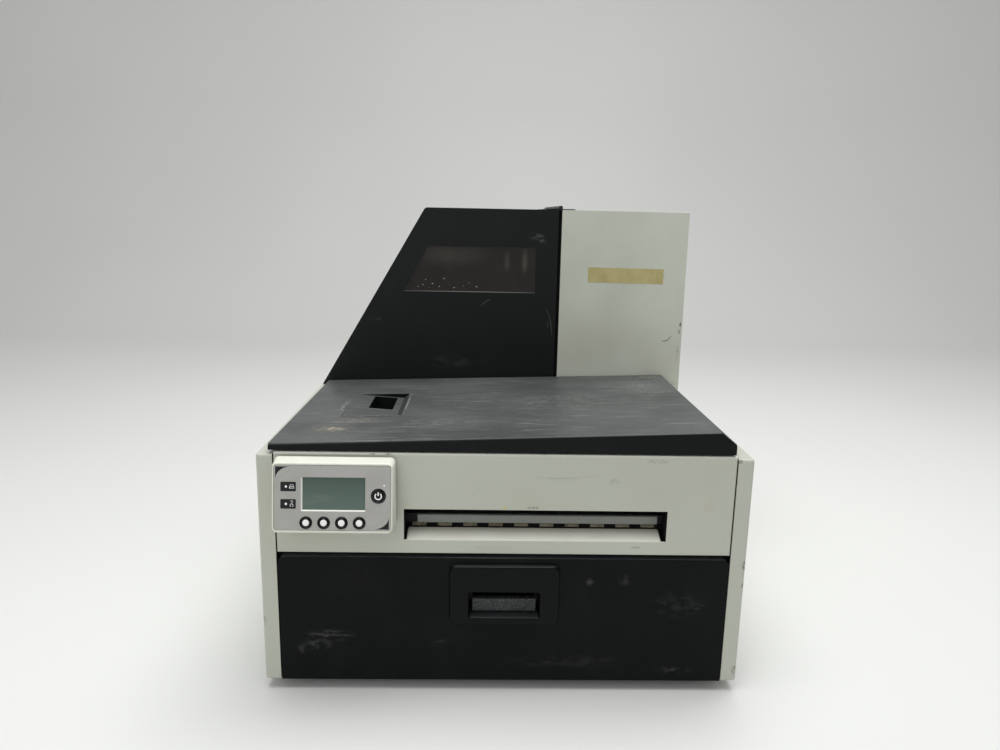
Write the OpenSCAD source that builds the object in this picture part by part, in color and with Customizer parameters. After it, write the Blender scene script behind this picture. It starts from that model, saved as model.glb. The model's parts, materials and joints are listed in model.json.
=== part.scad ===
// Color label printer: sheet-metal case, ink drawers behind a drop-down door,
// a page-wide printhead under a side-hinged lid, and a roll tower with a lift-up cover.
// Places are written from the case: X from its middle, Y from its front face, Z from the
// lower edge of the side panels. Module placed() moves them into the part's own frame.

/* [Case] */
// Width over the two side panels
case_w = 440; // [430:1:460]
// Depth from the front face to the back
case_d = 500; // [500:1:530]
// Height of the side panels
side_h = 219; // [219:1:223]
// Thickness of the painted steel sheet
sheet_t = 1.5; // [1:0.1:1.8]
// Width of the flanges folded in along the side panels
flange_w = 14.5; // [13:0.5:18]
// Height of the rubber feet
foot_h = 10; // [8:0.5:16]
// Radius of a foot
foot_r = 11; // [8:0.5:16]
// Gap along the sides of the front panel and the door
reveal = 1; // [0.8:0.1:2]

/* [Front panel and door] */
// How far the front panel stands above the side panels
panel_rise = 2; // [1.5:0.1:2.8]
// Height of the front panel
panel_h = 94; // [92:0.5:94.5]
// Depth of the folded edges of the front panel
panel_fold = 12; // [11:0.5:14]
// Gap between the front panel and the door
door_gap = 4; // [3:0.1:5.5]
// Wall of the door
door_t = 2.5; // [2:0.1:3]
// Depth of the folded edges of the door
door_fold = 9; // [7:0.5:9.5]
// Height of the door's hinge axis
door_axis_z = 6; // [5.8:0.1:6.4]
// Depth of the door's hinge axis behind the front face
door_axis_y = 7; // [7:0.1:7.6]

/* [Exit slot] */
// Distance of the exit slot from the left side of the case
slot_left = 129; // [127:0.5:130]
// Distance of the exit slot from the right side of the case
slot_right = 75; // [73:0.5:76]
// Distance of the exit slot from the top of the front panel
slot_drop = 52; // [50:0.5:54]
// Height of the exit slot
slot_h = 29; // [27:0.5:31]

/* [Door latch] */
// Width of the latch bezel
bezel_w = 100; // [92:1:110]
// Distance of the latch bezel from the top of the door
bezel_drop = 6; // [5:0.5:8]
// Height of the latch bezel
bezel_h = 57.5; // [56:0.5:60]
// How far the bezel stands proud of the door
bezel_proud = 5; // [3:0.5:6]
// Width of the finger pocket
pocket_w = 64; // [58:1:70]
// Height of the finger pocket above the lower edge of the bezel
pocket_rise = 7.5; // [6.5:0.5:8.5]
// Height of the finger pocket
pocket_h = 24; // [23:0.5:27]

/* [Control panel] */
// Width of the control panel
control_w = 104; // [98:1:106]
// Height of its face
control_h = 62; // [60:0.5:63]
// How far its upper edge stands in front of the case
control_top_proud = 15; // [13:0.5:18]
// How far its lower edge stands in front of the case
control_low_proud = 25; // [22:0.5:27]
// Distance of the control panel's middle from the left side of the case
control_in = 70; // [69:0.5:71]
// Distance of the control panel's middle from the top of the front panel
control_drop = 34.5; // [34:0.5:36]
// Radius of a menu button
menu_r = 4.4; // [3.6:0.1:5]
// Radius of the power button
power_r = 5.2; // [4.5:0.1:6]

/* [Lid] */
// Distance of the lid's left edge from the left side of the case
lid_left = 11; // [9:0.5:12]
// Distance of the lid's right edge from the right side of the case
lid_right = 17; // [16.6:0.1:18]
// Gap between the lid and the tower
lid_gap = 4; // [2:0.5:9]
// Height of the lid's lower edge above the side panels
lid_rise = 3.5; // [3.2:0.1:4]
// Wall of the lid
lid_t = 2.5; // [2:0.1:2.6]
// Thickness of the lid at the left front corner
lid_left_front_h = 5.5; // [5:0.1:7.5]
// Thickness of the lid at the left rear corner
lid_left_rear_h = 2.9; // [2.7:0.1:4.5]
// Thickness of the lid at the front of its ridge
lid_ridge_front_h = 20.5; // [18.5:0.5:24.5]
// Thickness of the lid at the back of its ridge
lid_ridge_rear_h = 15.5; // [14.5:0.5:18.5]

/* [Tower] */
// Depth of the tower
tower_d = 223; // [220:0.1:223.5]
// Height of the tower above the side panels
tower_h = 214.5; // [211:0.5:226]
// Distance of the cover's foot from the left side of the case
cover_left = 2.5; // [2:0.5:5]
// How far the cover leans in from its foot to its top
cover_lean_x = 125; // [121.5:0.5:127.5]
// Gap between the cover and the fixed housing
seam = 4; // [3.8:0.1:4.4]
// Width of the fixed housing
housing_w = 151; // [150.6:0.1:151.2]
// Wall of the cover
cover_t = 2.5; // [2:0.1:3]
// Height of the cover's lower edge above the side panels
cover_rise = 1; // [0.5:0.1:2]

/* [Paper path] */
// Height of the paper path above the lower edge of the exit slot
path_rise = 8; // [8:0.1:8.6]
// Radius of the drive rollers
roller_r = 9; // [8.5:0.1:9.2]
// Radius of the roller shafts
shaft_r = 4; // [3.5:0.1:4.5]
// Depth of the exit roller's axis
exit_y = 31; // [30:0.5:33]
// Depth of the infeed roller's axis
infeed_y = 190; // [186:0.5:194]
// Depth of the printhead and of the maintenance drum
head_y = 130; // [127:0.5:133]
// Radius of the maintenance drum
drum_r = 17; // [15:0.5:17.5]
// Travel of the printhead when it lifts
head_lift = 6; // [3:0.5:6.5]

/* [Ink] */
// Room beside an ink tank
tank_room = 8; // [6:0.5:14]
// Room above an ink tank
tank_headroom = 21.7; // [20.7:0.5:30]
// Length of an ink tank
tank_d = 140; // [134:0.5:141]
// Distance of the row of ink tanks from the sides of the case
ink_in = 75; // [72.5:0.5:77.5]

/* [Roll holder] */
// Height of the spindle above the side panels
spindle_rise = 106; // [103:0.5:110]
// Distance of the spindle in front of the middle of the tower
spindle_shift = 0.5; // [0:0.1:2]
// Radius of the spindle's mandrel
mandrel_r = 37; // [30:0.5:38]
// Room between the roll guides and the front and back of the tower
guide_room = 19.5; // [17.5:0.5:31.5]
// Distance of the roll bay's wall from the right side of the case
bay_in = 68; // [66:0.5:69]

/* [Clearances] */
// Radial clearance of a shaft in its bore
run_gap = 0.06; // [0.03:0.01:0.09]
// Clearance between moving parts that only pass each other
part_gap = 0.3; // [0.25:0.05:0.4]

/* [Hidden] */
$fn = 48;
hull_fn = 32;
over = 1;
half_w = case_w / 2;
inner_x = half_w - sheet_t;
flange_x = half_w - flange_w;
front_x = flange_x - reveal;
rear_face = case_d - sheet_t;
rear_in = rear_face - sheet_t;
screw_h = 1.2;
// The menu buttons reach furthest in front of the case, the screw heads furthest behind it
control_tilt = atan2(control_low_proud - control_top_proud, control_h);
menu_y = -21.5;
button_proud = 1;
front_reach = (control_top_proud + control_low_proud) / 2
    + (menu_r - menu_y) * sin(control_tilt) + button_proud * cos(control_tilt);
front_y = (front_reach - case_d - screw_h) / 2;
panel_top = side_h + panel_rise;
panel_bottom = panel_top - panel_h;
door_top = panel_bottom - door_gap;
slot_x0 = slot_left - half_w;
slot_x1 = half_w - slot_right;
slot_z1 = panel_top - slot_drop;
slot_z0 = slot_z1 - slot_h;
path_z = slot_z0 + path_rise;
bezel_z1 = door_top - bezel_drop;
bezel_z0 = bezel_z1 - bezel_h;
pocket_z0 = bezel_z0 + pocket_rise;
pocket_z1 = pocket_z0 + pocket_h;
control_x = control_in - half_w;
control_z = panel_top - control_drop;
tower_y = case_d - tower_d;
tower_top = side_h + tower_h;
housing_x0 = half_w - housing_w;
cover_x1 = housing_x0 - seam;
cover_low_x = cover_left - half_w;
cover_top_x = cover_low_x + cover_lean_x;
cover_z0 = side_h + cover_rise;
lid_x0 = lid_left - half_w;
lid_x1 = half_w - lid_right;
lid_d = tower_y - lid_gap;
lid_z0 = side_h + lid_rise;
lid_left_front_z = lid_z0 + lid_left_front_h;
lid_left_rear_z = lid_z0 + lid_left_rear_h;
lid_ridge_front_z = lid_z0 + lid_ridge_front_h;
lid_ridge_rear_z = lid_z0 + lid_ridge_rear_h;
bay_x = half_w - bay_in;
spindle_y = tower_y + tower_d / 2 - spindle_shift;
guide_foot = 14;
guide_head = 16.5;
// The guides are as large as the tower's depth and the heights under and over the spindle leave room for
guide_r = min(tower_d / 2 - guide_room, spindle_rise - guide_foot, tower_h - spindle_rise - guide_head);
spindle_z = side_h + spindle_rise;
frame_y = panel_fold;
frame_in = frame_y + sheet_t;
floor_top = 2 * sheet_t;

white_paint = [0.78, 0.79, 0.74];
black_plastic = [0.09, 0.1, 0.1];
dark_steel = [0.3, 0.31, 0.33];
zinc = [0.66, 0.67, 0.69];
rubber_black = [0.05, 0.05, 0.05];
tan_rubber = [0.63, 0.52, 0.36];

module placed() translate([0, front_y, foot_h]) children();
module box(low, high) translate(low) cube(high - low);
// A bar or a tube along X, Y or Z that starts at a point
module rod_x(at, r, len) translate(at) rotate([0, 90, 0]) cylinder(r = r, h = len);
module rod_y(at, r, len) translate(at) rotate([-90, 0, 0]) cylinder(r = r, h = len);
module rod_z(at, r, len) translate(at) cylinder(r = r, h = len);
// A plate whose outline lies in X and Z, or in Y and Z
module plate_xz(y0, t, outline) translate([0, y0 + t, 0]) rotate([90, 0, 0])
    linear_extrude(t) polygon(outline);
module plate_yz(x0, t, outline) translate([x0, 0, 0]) rotate([90, 0, 90])
    linear_extrude(t) polygon(outline);
module round_rect(w, h, r) hull() for (x = [-1, 1], y = [-1, 1])
    translate([x * (w / 2 - r), y * (h / 2 - r)]) circle(r, $fn = hull_fn);

// Base pan, side panels and feet
pan_y0 = frame_in + over;
pan_lip = 8;
foot_in_x = 48;
foot_in_y = 42;
foot_x = half_w - foot_in_x;
foot_seat = 3;

module base_pan() color(zinc) placed() {
    box([-inner_x, pan_y0, sheet_t], [inner_x, rear_in, floor_top]);
    for (side = [-1, 1]) mirror([side < 0 ? 1 : 0, 0, 0])
        box([inner_x - sheet_t, pan_y0, sheet_t], [inner_x, rear_in, floor_top + pan_lip]);
}

screw_r = 2.8;
screw_shank_r = 1.5;
screw_len = 7;
screw_end = 24;
screw_rows = [screw_end, side_h / 2, side_h - screw_end];
screw_x = half_w - flange_w / 2;

module screw_holes(x) for (z = screw_rows)
    rod_y([x, rear_in - over, z], screw_shank_r + run_gap, 2 * (sheet_t + over));
module side_panel() placed() difference() {
    union() {
        box([inner_x, 0, 0], [half_w, case_d, side_h]);
        box([flange_x, 0, 0], [half_w, sheet_t, side_h]);
        box([flange_x, rear_face, 0], [half_w, case_d, side_h]);
        box([flange_x, 0, side_h - sheet_t], [half_w, case_d, side_h]);
        box([flange_x, 0, 0], [half_w, case_d, sheet_t]);
    }
    screw_holes(screw_x);
}
module left_side_panel() color(white_paint) mirror([1, 0, 0]) side_panel();
module right_side_panel() color(white_paint) side_panel();

module feet() color(rubber_black) placed()
    for (x = [-foot_x, foot_x], y = [foot_in_y, case_d - foot_in_y]) translate([x, y, -foot_h]) {
        cylinder(r = foot_r, h = foot_h + sheet_t);
        cylinder(r = foot_r + foot_seat, h = foot_seat);
    }

// Front panel with the exit slot, and the frame behind it
slot_lip = 5;
window_margin = 5;
window_low = 8;
window_high = 9;
window_z0 = slot_z0 - window_low;
window_z1 = slot_z1 + window_high;
bay_open_margin = 22;
bay_open_x = half_w - bay_open_margin;
bay_open_z0 = 12;
keeper_drop = 4;
keeper_z = door_top - keeper_drop;
// The control panel's cable passes here
cable_r = 9;

module front_panel() color(white_paint) placed() difference() {
    union() {
        box([-front_x, 0, panel_bottom], [front_x, sheet_t, panel_top]);
        box([-front_x, 0, panel_top - sheet_t], [front_x, panel_fold, panel_top]);
        box([-front_x, 0, panel_bottom], [front_x, panel_fold, panel_bottom + sheet_t]);
        for (x = [-front_x, front_x - sheet_t])
            box([x, 0, panel_bottom], [x + sheet_t, panel_fold, panel_top]);
        box([slot_x0, 0, slot_z1], [slot_x1, slot_lip, slot_z1 + sheet_t]);
    }
    box([slot_x0, -over, slot_z0], [slot_x1, sheet_t + over, slot_z1]);
    rod_y([control_x, -over, control_z], cable_r, sheet_t + 2 * over);
}

module front_frame() color(dark_steel) placed() difference() {
    union() {
        box([-inner_x, frame_y, floor_top + sheet_t], [inner_x, frame_in, side_h - sheet_t]);
        box([-front_x, frame_y, side_h - 2 * sheet_t], [front_x, frame_in, panel_top]);
    }
    box([-bay_open_x, frame_y - over, bay_open_z0], [bay_open_x, frame_in + over, keeper_z]);
    box([slot_x0 - window_margin, frame_y - over, window_z0],
        [slot_x1 + window_margin, frame_in + over, window_z1]);
    rod_y([control_x, frame_y - over, control_z], cable_r, sheet_t + 2 * over);
}

// Deck that carries the print engine, open under the maintenance drum
deck_drop = 3;
deck_z = panel_bottom - deck_drop;
deck_top = deck_z + sheet_t;
deck_end = 23;
deck_y1 = tower_y + deck_end;
plate_t = 3;
plate_margin = 9;
left_plate_x = slot_x0 - plate_margin;
right_plate_x = slot_x1 + plate_margin;
drum_gap = 4;
tube_pitch = 6;
tube_r = 2;
tube_count = 5;
tube_hole_gap = 4;

module deck() color(zinc) placed() difference() {
    box([-inner_x, frame_in, deck_z], [inner_x, deck_y1, deck_top]);
    box([left_plate_x, head_y - drum_r - drum_gap, deck_z - over],
        [right_plate_x, head_y + drum_r + drum_gap, deck_top + over]);
    box([tube_x - (tube_count - 1) * tube_pitch - tube_hole_gap, tube_y - tube_hole_gap, deck_z - over],
        [tube_x + tube_hole_gap, tube_y + tube_hole_gap, deck_top + over]);
}

// Engine frame: two plates on the deck, tie bars, the infeed chute and the motor bracket
plate_y0 = 18;
plate_y1 = 268;
plate_top_drop = 11;
plate_z1 = side_h - plate_top_drop;
tie_r = 4;
tie_drop = 18;
tie_z = plate_z1 - tie_drop;
tie_front_y = 62;
tie_rear_y = 240;
roller_z = path_z - roller_r;
wheel_r = 7;
wheel_z = path_z + wheel_r + part_gap;
pinch_r = 8;
pinch_z = path_z + pinch_r + part_gap;
drum_drop = 0.7;
drum_z = path_z - drum_drop - drum_r;
motor_y = 236;
motor_rise = 8;
motor_z = path_z + motor_rise;
bracket_gap = 16;
bracket_x = right_plate_x + bracket_gap;
motor_size = 40;
motor_boss_r = 11;
head_slot_half = 14;
head_slot_rise = 6;
head_slot_z0 = path_z + head_slot_rise;
coupler_rise = 16;
coupler_h = 36;
inlet_z0 = path_z + coupler_rise;
inlet_z1 = inlet_z0 + coupler_h;

module engine_plate(x0) difference() {
    box([x0, plate_y0, deck_top], [x0 + plate_t, plate_y1, plate_z1]);
    rod_x([x0 - over, exit_y, roller_z], shaft_r + run_gap, plate_t + 2 * over);
    rod_x([x0 - over, exit_y, wheel_z], shaft_r / 2 + run_gap, plate_t + 2 * over);
    rod_x([x0 - over, infeed_y, roller_z], shaft_r + run_gap, plate_t + 2 * over);
    rod_x([x0 - over, infeed_y, pinch_z], shaft_r + run_gap, plate_t + 2 * over);
    rod_x([x0 - over, head_y, drum_z], shaft_r + run_gap, plate_t + 2 * over);
    rod_x([x0 - over, motor_y, motor_z], motor_boss_r, plate_t + 2 * over);
    box([x0 - over, head_y - head_slot_half, head_slot_z0],
        [x0 + plate_t + over, head_y + head_slot_half, plate_z1 + over]);
}
chute_t = 2;
chute_start = 14;
chute_dip = 4;
chute_run = 18;
chute_drop = 6;
chute_low = [infeed_y + chute_start, path_z - chute_dip];
chute_high = [plate_y1 + chute_run, side_h - chute_drop];

module engine_frame() color(zinc) placed() {
    engine_plate(left_plate_x - plate_t);
    engine_plate(right_plate_x);
    for (y = [tie_front_y, tie_rear_y])
        rod_x([left_plate_x, y, tie_z], tie_r, right_plate_x - left_plate_x);
    plate_yz(left_plate_x, right_plate_x - left_plate_x,
        [chute_low, chute_high, chute_high - [0, chute_t], chute_low - [0, chute_t]]);
    difference() {
        box([bracket_x, motor_y - motor_size / 2 - over, deck_top],
            [bracket_x + plate_t, motor_y + motor_size / 2 + over, motor_z + motor_size / 2]);
        rod_x([bracket_x - over, motor_y, motor_z], motor_boss_r, plate_t + 2 * over);
    }
}

// Rollers of the paper path
pulley_r = 8;
pulley_w = 8;
pulley_gap = 3;
pulley_x = right_plate_x + plate_t + pulley_gap;
flank = 1;
roller_len = right_plate_x - left_plate_x - 2 * flank;
tyre_count = 10;
tyre_pitch = (slot_x1 - slot_x0) / tyre_count;
tyre_w = 13;
groove = 0.8;

module pulley(y, z) rod_x([pulley_x, y, z], pulley_r, pulley_w);

module exit_roller() placed() {
    color(rubber_black) {
        rod_x([left_plate_x - plate_t, exit_y, roller_z], shaft_r,
            pulley_x + pulley_w - left_plate_x + plate_t);
        rod_x([left_plate_x + flank, exit_y, roller_z], roller_r - groove, roller_len);
        pulley(exit_y, roller_z);
    }
    color(tan_rubber) for (i = [0:tyre_count - 1])
        rod_x([slot_x0 + (i + 0.5) * tyre_pitch - tyre_w / 2, exit_y, roller_z], roller_r, tyre_w);
}

star_w = 4;
module exit_wheels() color(black_plastic) placed() {
    rod_x([left_plate_x - plate_t, exit_y, wheel_z], shaft_r / 2, roller_len + 2 * (flank + plate_t));
    for (i = [1:tyre_count - 1])
        rod_x([slot_x0 + i * tyre_pitch - star_w, exit_y, wheel_z], wheel_r, 2 * star_w);
}

module infeed_roller() placed() {
    color(zinc) rod_x([left_plate_x - plate_t, infeed_y, roller_z], shaft_r,
        pulley_x + pulley_w - left_plate_x + plate_t);
    color(rubber_black) rod_x([left_plate_x + flank, infeed_y, roller_z], roller_r, roller_len);
    color(black_plastic) pulley(infeed_y, roller_z);
}

pinch_count = 6;
pinch_w = 26;
module pinch_roller() placed() {
    color(zinc) rod_x([left_plate_x - plate_t, infeed_y, pinch_z], shaft_r,
        roller_len + 2 * (flank + plate_t));
    color(rubber_black) for (i = [0:pinch_count - 1])
        rod_x([slot_x0 + (i + 0.5) * (slot_x1 - slot_x0) / pinch_count - pinch_w / 2,
            infeed_y, pinch_z], pinch_r, pinch_w);
}

motor_body = 36;
motor_shaft_r = 2.5;
motor_pulley_r = 6;

module feed_motor() color(dark_steel) placed() {
    box([bracket_x + plate_t, motor_y - motor_size / 2, motor_z - motor_size / 2],
        [bracket_x + plate_t + motor_body, motor_y + motor_size / 2, motor_z + motor_size / 2]);
    rod_x([bracket_x, motor_y, motor_z], motor_boss_r - part_gap, plate_t);
}
module motor_pulley() color(zinc) placed() {
    rod_x([pulley_x, motor_y, motor_z], motor_pulley_r, pulley_w);
    rod_x([pulley_x, motor_y, motor_z], motor_shaft_r, bracket_x - pulley_x - part_gap);
}

belt_t = 1.5;
belt_edge = 0.5;
// The belt runs round the exit, infeed and motor pulleys
module belt_outline(grow) hull() {
    translate([exit_y, roller_z]) circle(pulley_r + grow);
    translate([infeed_y, roller_z]) circle(pulley_r + grow);
    translate([motor_y, motor_z]) circle(motor_pulley_r + grow);
}
module drive_belt() color(rubber_black) placed() translate([pulley_x + belt_edge, 0, 0])
    rotate([90, 0, 90]) linear_extrude(pulley_w - 2 * belt_edge) difference() {
        belt_outline(part_gap + belt_t);
        belt_outline(part_gap);
    }

// Maintenance drum: platen ribs on top, a cap and a wiper in its other sides
cap_turn = 120;
wiper_turn = 240;
cap_w = 14;
cap_deep = 3;
cap_len = slot_x1 - slot_x0;
wiper_w = 4;
wiper_deep = 6;
rib_count = 15;
rib_gap = 5;
rib_deep = 1.2;
module maintenance_drum() placed() translate([0, head_y, drum_z]) {
    color(dark_steel) rod_x([left_plate_x - plate_t, 0, 0], shaft_r, roller_len + 2 * (flank + plate_t));
    color(black_plastic) difference() {
        rod_x([left_plate_x + flank, 0, 0], drum_r, roller_len);
        rotate([cap_turn, 0, 0]) box([slot_x0, -cap_w / 2, drum_r - cap_deep],
            [slot_x1, cap_w / 2, drum_r + over]);
        rotate([wiper_turn, 0, 0]) box([slot_x0, -wiper_w, drum_r - wiper_deep],
            [slot_x1, wiper_w, drum_r + over]);
        for (i = [0:rib_count - 1])
            box([slot_x0 + (i + 0.5) * cap_len / rib_count - rib_gap / 2,
                -cap_w / 2, drum_r - rib_deep],
                [slot_x0 + (i + 0.5) * cap_len / rib_count + rib_gap / 2,
                cap_w / 2, drum_r + over]);
    }
    color(tan_rubber) rotate([wiper_turn, 0, 0]) box([slot_x0, -wiper_w / 4, drum_r - wiper_deep],
        [slot_x1, wiper_w / 4, drum_r - groove]);
}

// Printhead, its carrier and the lever that locks it
carrier_x0 = left_plate_x + flank;
carrier_x1 = right_plate_x - flank;
carrier_half = 24;
carrier_wall = 3;
carrier_rise = 4;
carrier_h = 46;
head_rise = 1;
carrier_z0 = path_z + carrier_rise;
carrier_z1 = carrier_z0 + carrier_h;
head_z0 = path_z + head_rise;
head_half = carrier_half - carrier_wall - part_gap;
head_end = 5;
nose_half = 9;
tongue_half = head_slot_half - part_gap;
lever_in = 17;
lever_x = slot_x1 - lever_in;
lever_t = 4;
lever_r = 9;
lever_pin_r = 4;
lever_reach = 150;
lever_half = 6;

module printhead_carrier() color(black_plastic) placed() {
    difference() {
        box([carrier_x0, head_y - carrier_half, carrier_z0],
            [carrier_x1, head_y + carrier_half, carrier_z1]);
        box([carrier_x0 + carrier_wall, head_y - carrier_half + carrier_wall, carrier_z0 - over],
            [carrier_x1 - carrier_wall, head_y + carrier_half - carrier_wall, carrier_z1 + over]);
    }
    for (x = [carrier_x0 - flank - plate_t, carrier_x1 - carrier_wall])
        box([x, head_y - tongue_half, head_slot_z0 + head_lift],
            [x + carrier_wall + flank + plate_t, head_y + tongue_half, carrier_z1 - head_lift]);
    difference() {
        box([carrier_x1 - 2 * carrier_half, head_y - carrier_half, carrier_z1],
            [carrier_x1, head_y + carrier_half, carrier_z1 + carrier_wall]);
        box([carrier_x1 - 2 * carrier_half - over, head_y - head_half + carrier_wall, carrier_z1 - over],
            [lever_x - lever_r, head_y + head_half - carrier_wall, carrier_z1 + carrier_wall + over]);
    }
    rod_z([lever_x, head_y, carrier_z1 + carrier_wall], lever_pin_r, lever_t);
}
module printhead() color([0.16, 0.17, 0.2]) placed() {
    box([carrier_x0 + carrier_wall + part_gap, head_y - head_half, carrier_z0 + over],
        [carrier_x1 - carrier_wall - part_gap, head_y + head_half, carrier_z1 - head_end]);
    box([slot_x0, head_y - nose_half, head_z0], [slot_x1, head_y + nose_half, carrier_z0 + 2 * over]);
    for (x = [carrier_x0 + carrier_wall, carrier_x1 - carrier_wall - part_gap])
        box([x, head_y - nose_half, carrier_z0 + head_end],
            [x + part_gap, head_y + nose_half, carrier_z1 - 2 * head_end]);
}
lever_z = carrier_z1 + carrier_wall + part_gap;
module printhead_lever() color([0.1, 0.35, 0.55]) placed() difference() {
    union() {
        rod_z([lever_x, head_y, lever_z], lever_r, lever_t - part_gap);
        box([lever_x - lever_reach, head_y - lever_half, lever_z],
            [lever_x, head_y + lever_half, lever_z + lever_t - part_gap]);
        rod_z([lever_x - lever_reach, head_y, lever_z], lever_half, lever_t - part_gap);
    }
    rod_z([lever_x, head_y, lever_z - over], lever_pin_r + run_gap, lever_t + 2 * over);
}

// Ink tanks, their bay, needles and tubes
tank_y0 = 30;
bay_floor_t = 3;
tank_z0 = floor_top + bay_floor_t + part_gap;
divider_t = 3;
divider_h = 54;
tank_count = 5;
tank_pitch = (case_w - 2 * ink_in) / tank_count;
tank_w = tank_pitch - tank_room;
bay_half = tank_pitch * tank_count / 2 + divider_t / 2;
bay_y0 = pan_y0;
tank_end_gap = 3;
bay_y1 = tank_y0 + tank_d + tank_end_gap;
needle_r = 3;
needle_len = 22;
needle_z = 34;
grip_w = 30;
grip_d = 9;
grip_z0 = 40;
grip_z1 = 66;
runner_w = 2;
runner_h = 4;
tank_h = deck_z - tank_headroom - tank_z0 - runner_h;
tank_ink = [[0.1, 0.1, 0.11], [0.1, 0.1, 0.11], [0.05, 0.5, 0.7], [0.72, 0.1, 0.35], [0.85, 0.72, 0.1]];

function tank_x(i) = (i - (tank_count - 1) / 2) * tank_pitch;

module ink_bay() color(dark_steel) placed() {
    box([-bay_half, bay_y0, floor_top], [bay_half, bay_y1, floor_top + bay_floor_t]);
    for (i = [0:tank_count]) {
        x = (i - tank_count / 2) * tank_pitch;
        box([x - divider_t / 2, bay_y0, floor_top], [x + divider_t / 2, bay_y1, floor_top + divider_h]);
        for (side = [-1, 1])
            if ((side < 0 && i > 0) || (side > 0 && i < tank_count))
                box([x + side * (divider_t + runner_w) / 2 - runner_w / 2, tank_y0, floor_top],
                    [x + side * (divider_t + runner_w) / 2 + runner_w / 2, bay_y1,
                    floor_top + bay_floor_t + runner_h]);
    }
}

module ink_tank(i) color(tank_ink[i]) placed() translate([tank_x(i), 0, 0]) difference() {
    union() {
        box([-tank_w / 2, tank_y0, tank_z0], [tank_w / 2, tank_y0 + tank_d, tank_z0 + tank_h]);
        box([-grip_w / 2, tank_y0, tank_z0 + tank_h],
            [grip_w / 2, tank_y0 + grip_w, tank_z0 + tank_h + runner_h]);
    }
    box([-grip_w / 2, tank_y0 - over, grip_z0], [grip_w / 2, tank_y0 + grip_d, grip_z1]);
    rod_y([0, tank_y0 + tank_d - needle_len, needle_z], needle_r + run_gap, needle_len + over);
}

manifold_y0 = bay_y1;
manifold_d = 16;
manifold_y1 = manifold_y0 + manifold_d;
manifold_z1 = 46;
coupler_t = 10;
coupler_half = 13;
port_z = 13;
tube_out = 13.5;
tube_x = -bay_half - tube_out;
tube_y = (manifold_y0 + manifold_y1) / 2;

module ink_manifold() color(black_plastic) placed() {
    box([-bay_half, manifold_y0, floor_top], [bay_half, manifold_y1, manifold_z1]);
    for (i = [0:tank_count - 1])
        rod_y([tank_x(i), tank_y0 + tank_d - needle_len + over, needle_z], needle_r,
            manifold_y0 + over - tank_y0 - tank_d + needle_len - over);
    box([left_plate_x - plate_t - coupler_t, head_y - coupler_half, inlet_z0],
        [left_plate_x - plate_t, head_y + coupler_half, inlet_z1]);
}

// A tube runs left from the manifold, up through the deck, forward, and right to the coupler
bend_r = 9;
bend_steps = 4;
tube_sides = 8;
function unit(v) = v / norm(v);
function corner(a, b, c) = let (p = unit(a - b), q = unit(c - b))
    [for (k = [0:bend_steps]) let (t = 90 * k / bend_steps)
        b + bend_r * (p + q) - bend_r * (q * cos(t) + p * sin(t))];
function tube_route(k) = let (
        x = tube_x - k * tube_pitch,
        low = port_z + (tube_count - 1 - k) * tube_pitch,
        high = inlet_z0 + port_z / 2 + k * tube_pitch,
        a = [-bay_half, tube_y, low], b = [x, tube_y, low], c = [x, tube_y, high],
        d = [x, head_y, high],
        e = [left_plate_x - plate_t - coupler_t, head_y, high])
    concat([a], corner(a, b, c), corner(b, c, d), corner(c, d, e), [e]);
function tangents(p) = [for (i = [0:len(p) - 1])
    unit(p[min(i + 1, len(p) - 1)] - p[max(i - 1, 0)])];
function carried(t, i, v) = i == len(t) ? [] :
    let (w = unit(v - (v * t[i]) * t[i])) concat([w], carried(t, i + 1, w));
module swept_tube(path, r) {
    t = tangents(path);
    n = carried(t, 0, [0, 0, 1]);
    rings = [for (i = [0:len(path) - 1]) for (s = [0:tube_sides - 1])
        path[i] + r * (n[i] * cos(360 * s / tube_sides) + cross(t[i], n[i]) * sin(360 * s / tube_sides))];
    last = (len(path) - 1) * tube_sides;
    faces = concat(
        [[for (s = [0:tube_sides - 1]) s]],
        [for (i = [0:len(path) - 2]) for (s = [0:tube_sides - 1])
            let (a = i * tube_sides + s, b = i * tube_sides + (s + 1) % tube_sides)
            [a, a + tube_sides, b + tube_sides, b]],
        [[for (s = [tube_sides - 1:-1:0]) last + s]]);
    polyhedron(rings, faces);
}
module ink_tubes() color([0.75, 0.76, 0.74]) placed()
    for (k = [0:tube_count - 1]) swept_tube(tube_route(k), tube_r);

// Electronics on the floor of the case, and what shows at the back
board_in = 20;
board_w = 170;
board_d = 170;
board_x0 = board_in - half_w;
board_x1 = board_x0 + board_w;
board_y0 = case_d - board_d;
board_z = 12;
board_t = 1.6;
standoff_r = 3.5;
chip_h = 3;
socket_in = 18;
usb_in = 30;
usb_x = board_x0 + usb_in;
usb_w = 12;
usb_h = 11;
net_in = 70;
net_x = board_x0 + net_in;
net_w = 16;
net_h = 13.5;
// Chips (left, front, side) and cans (left, front) in shares of the board's width
chip_places = [[0.24, 0.3, 0.18], [0.56, 0.42, 0.14], [0.76, 0.66, 0.1]];
can_places = [[0.85, 0.18], [0.85, 0.28], [0.74, 0.18]];
can_r = 6;
can_h = 18;

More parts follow.
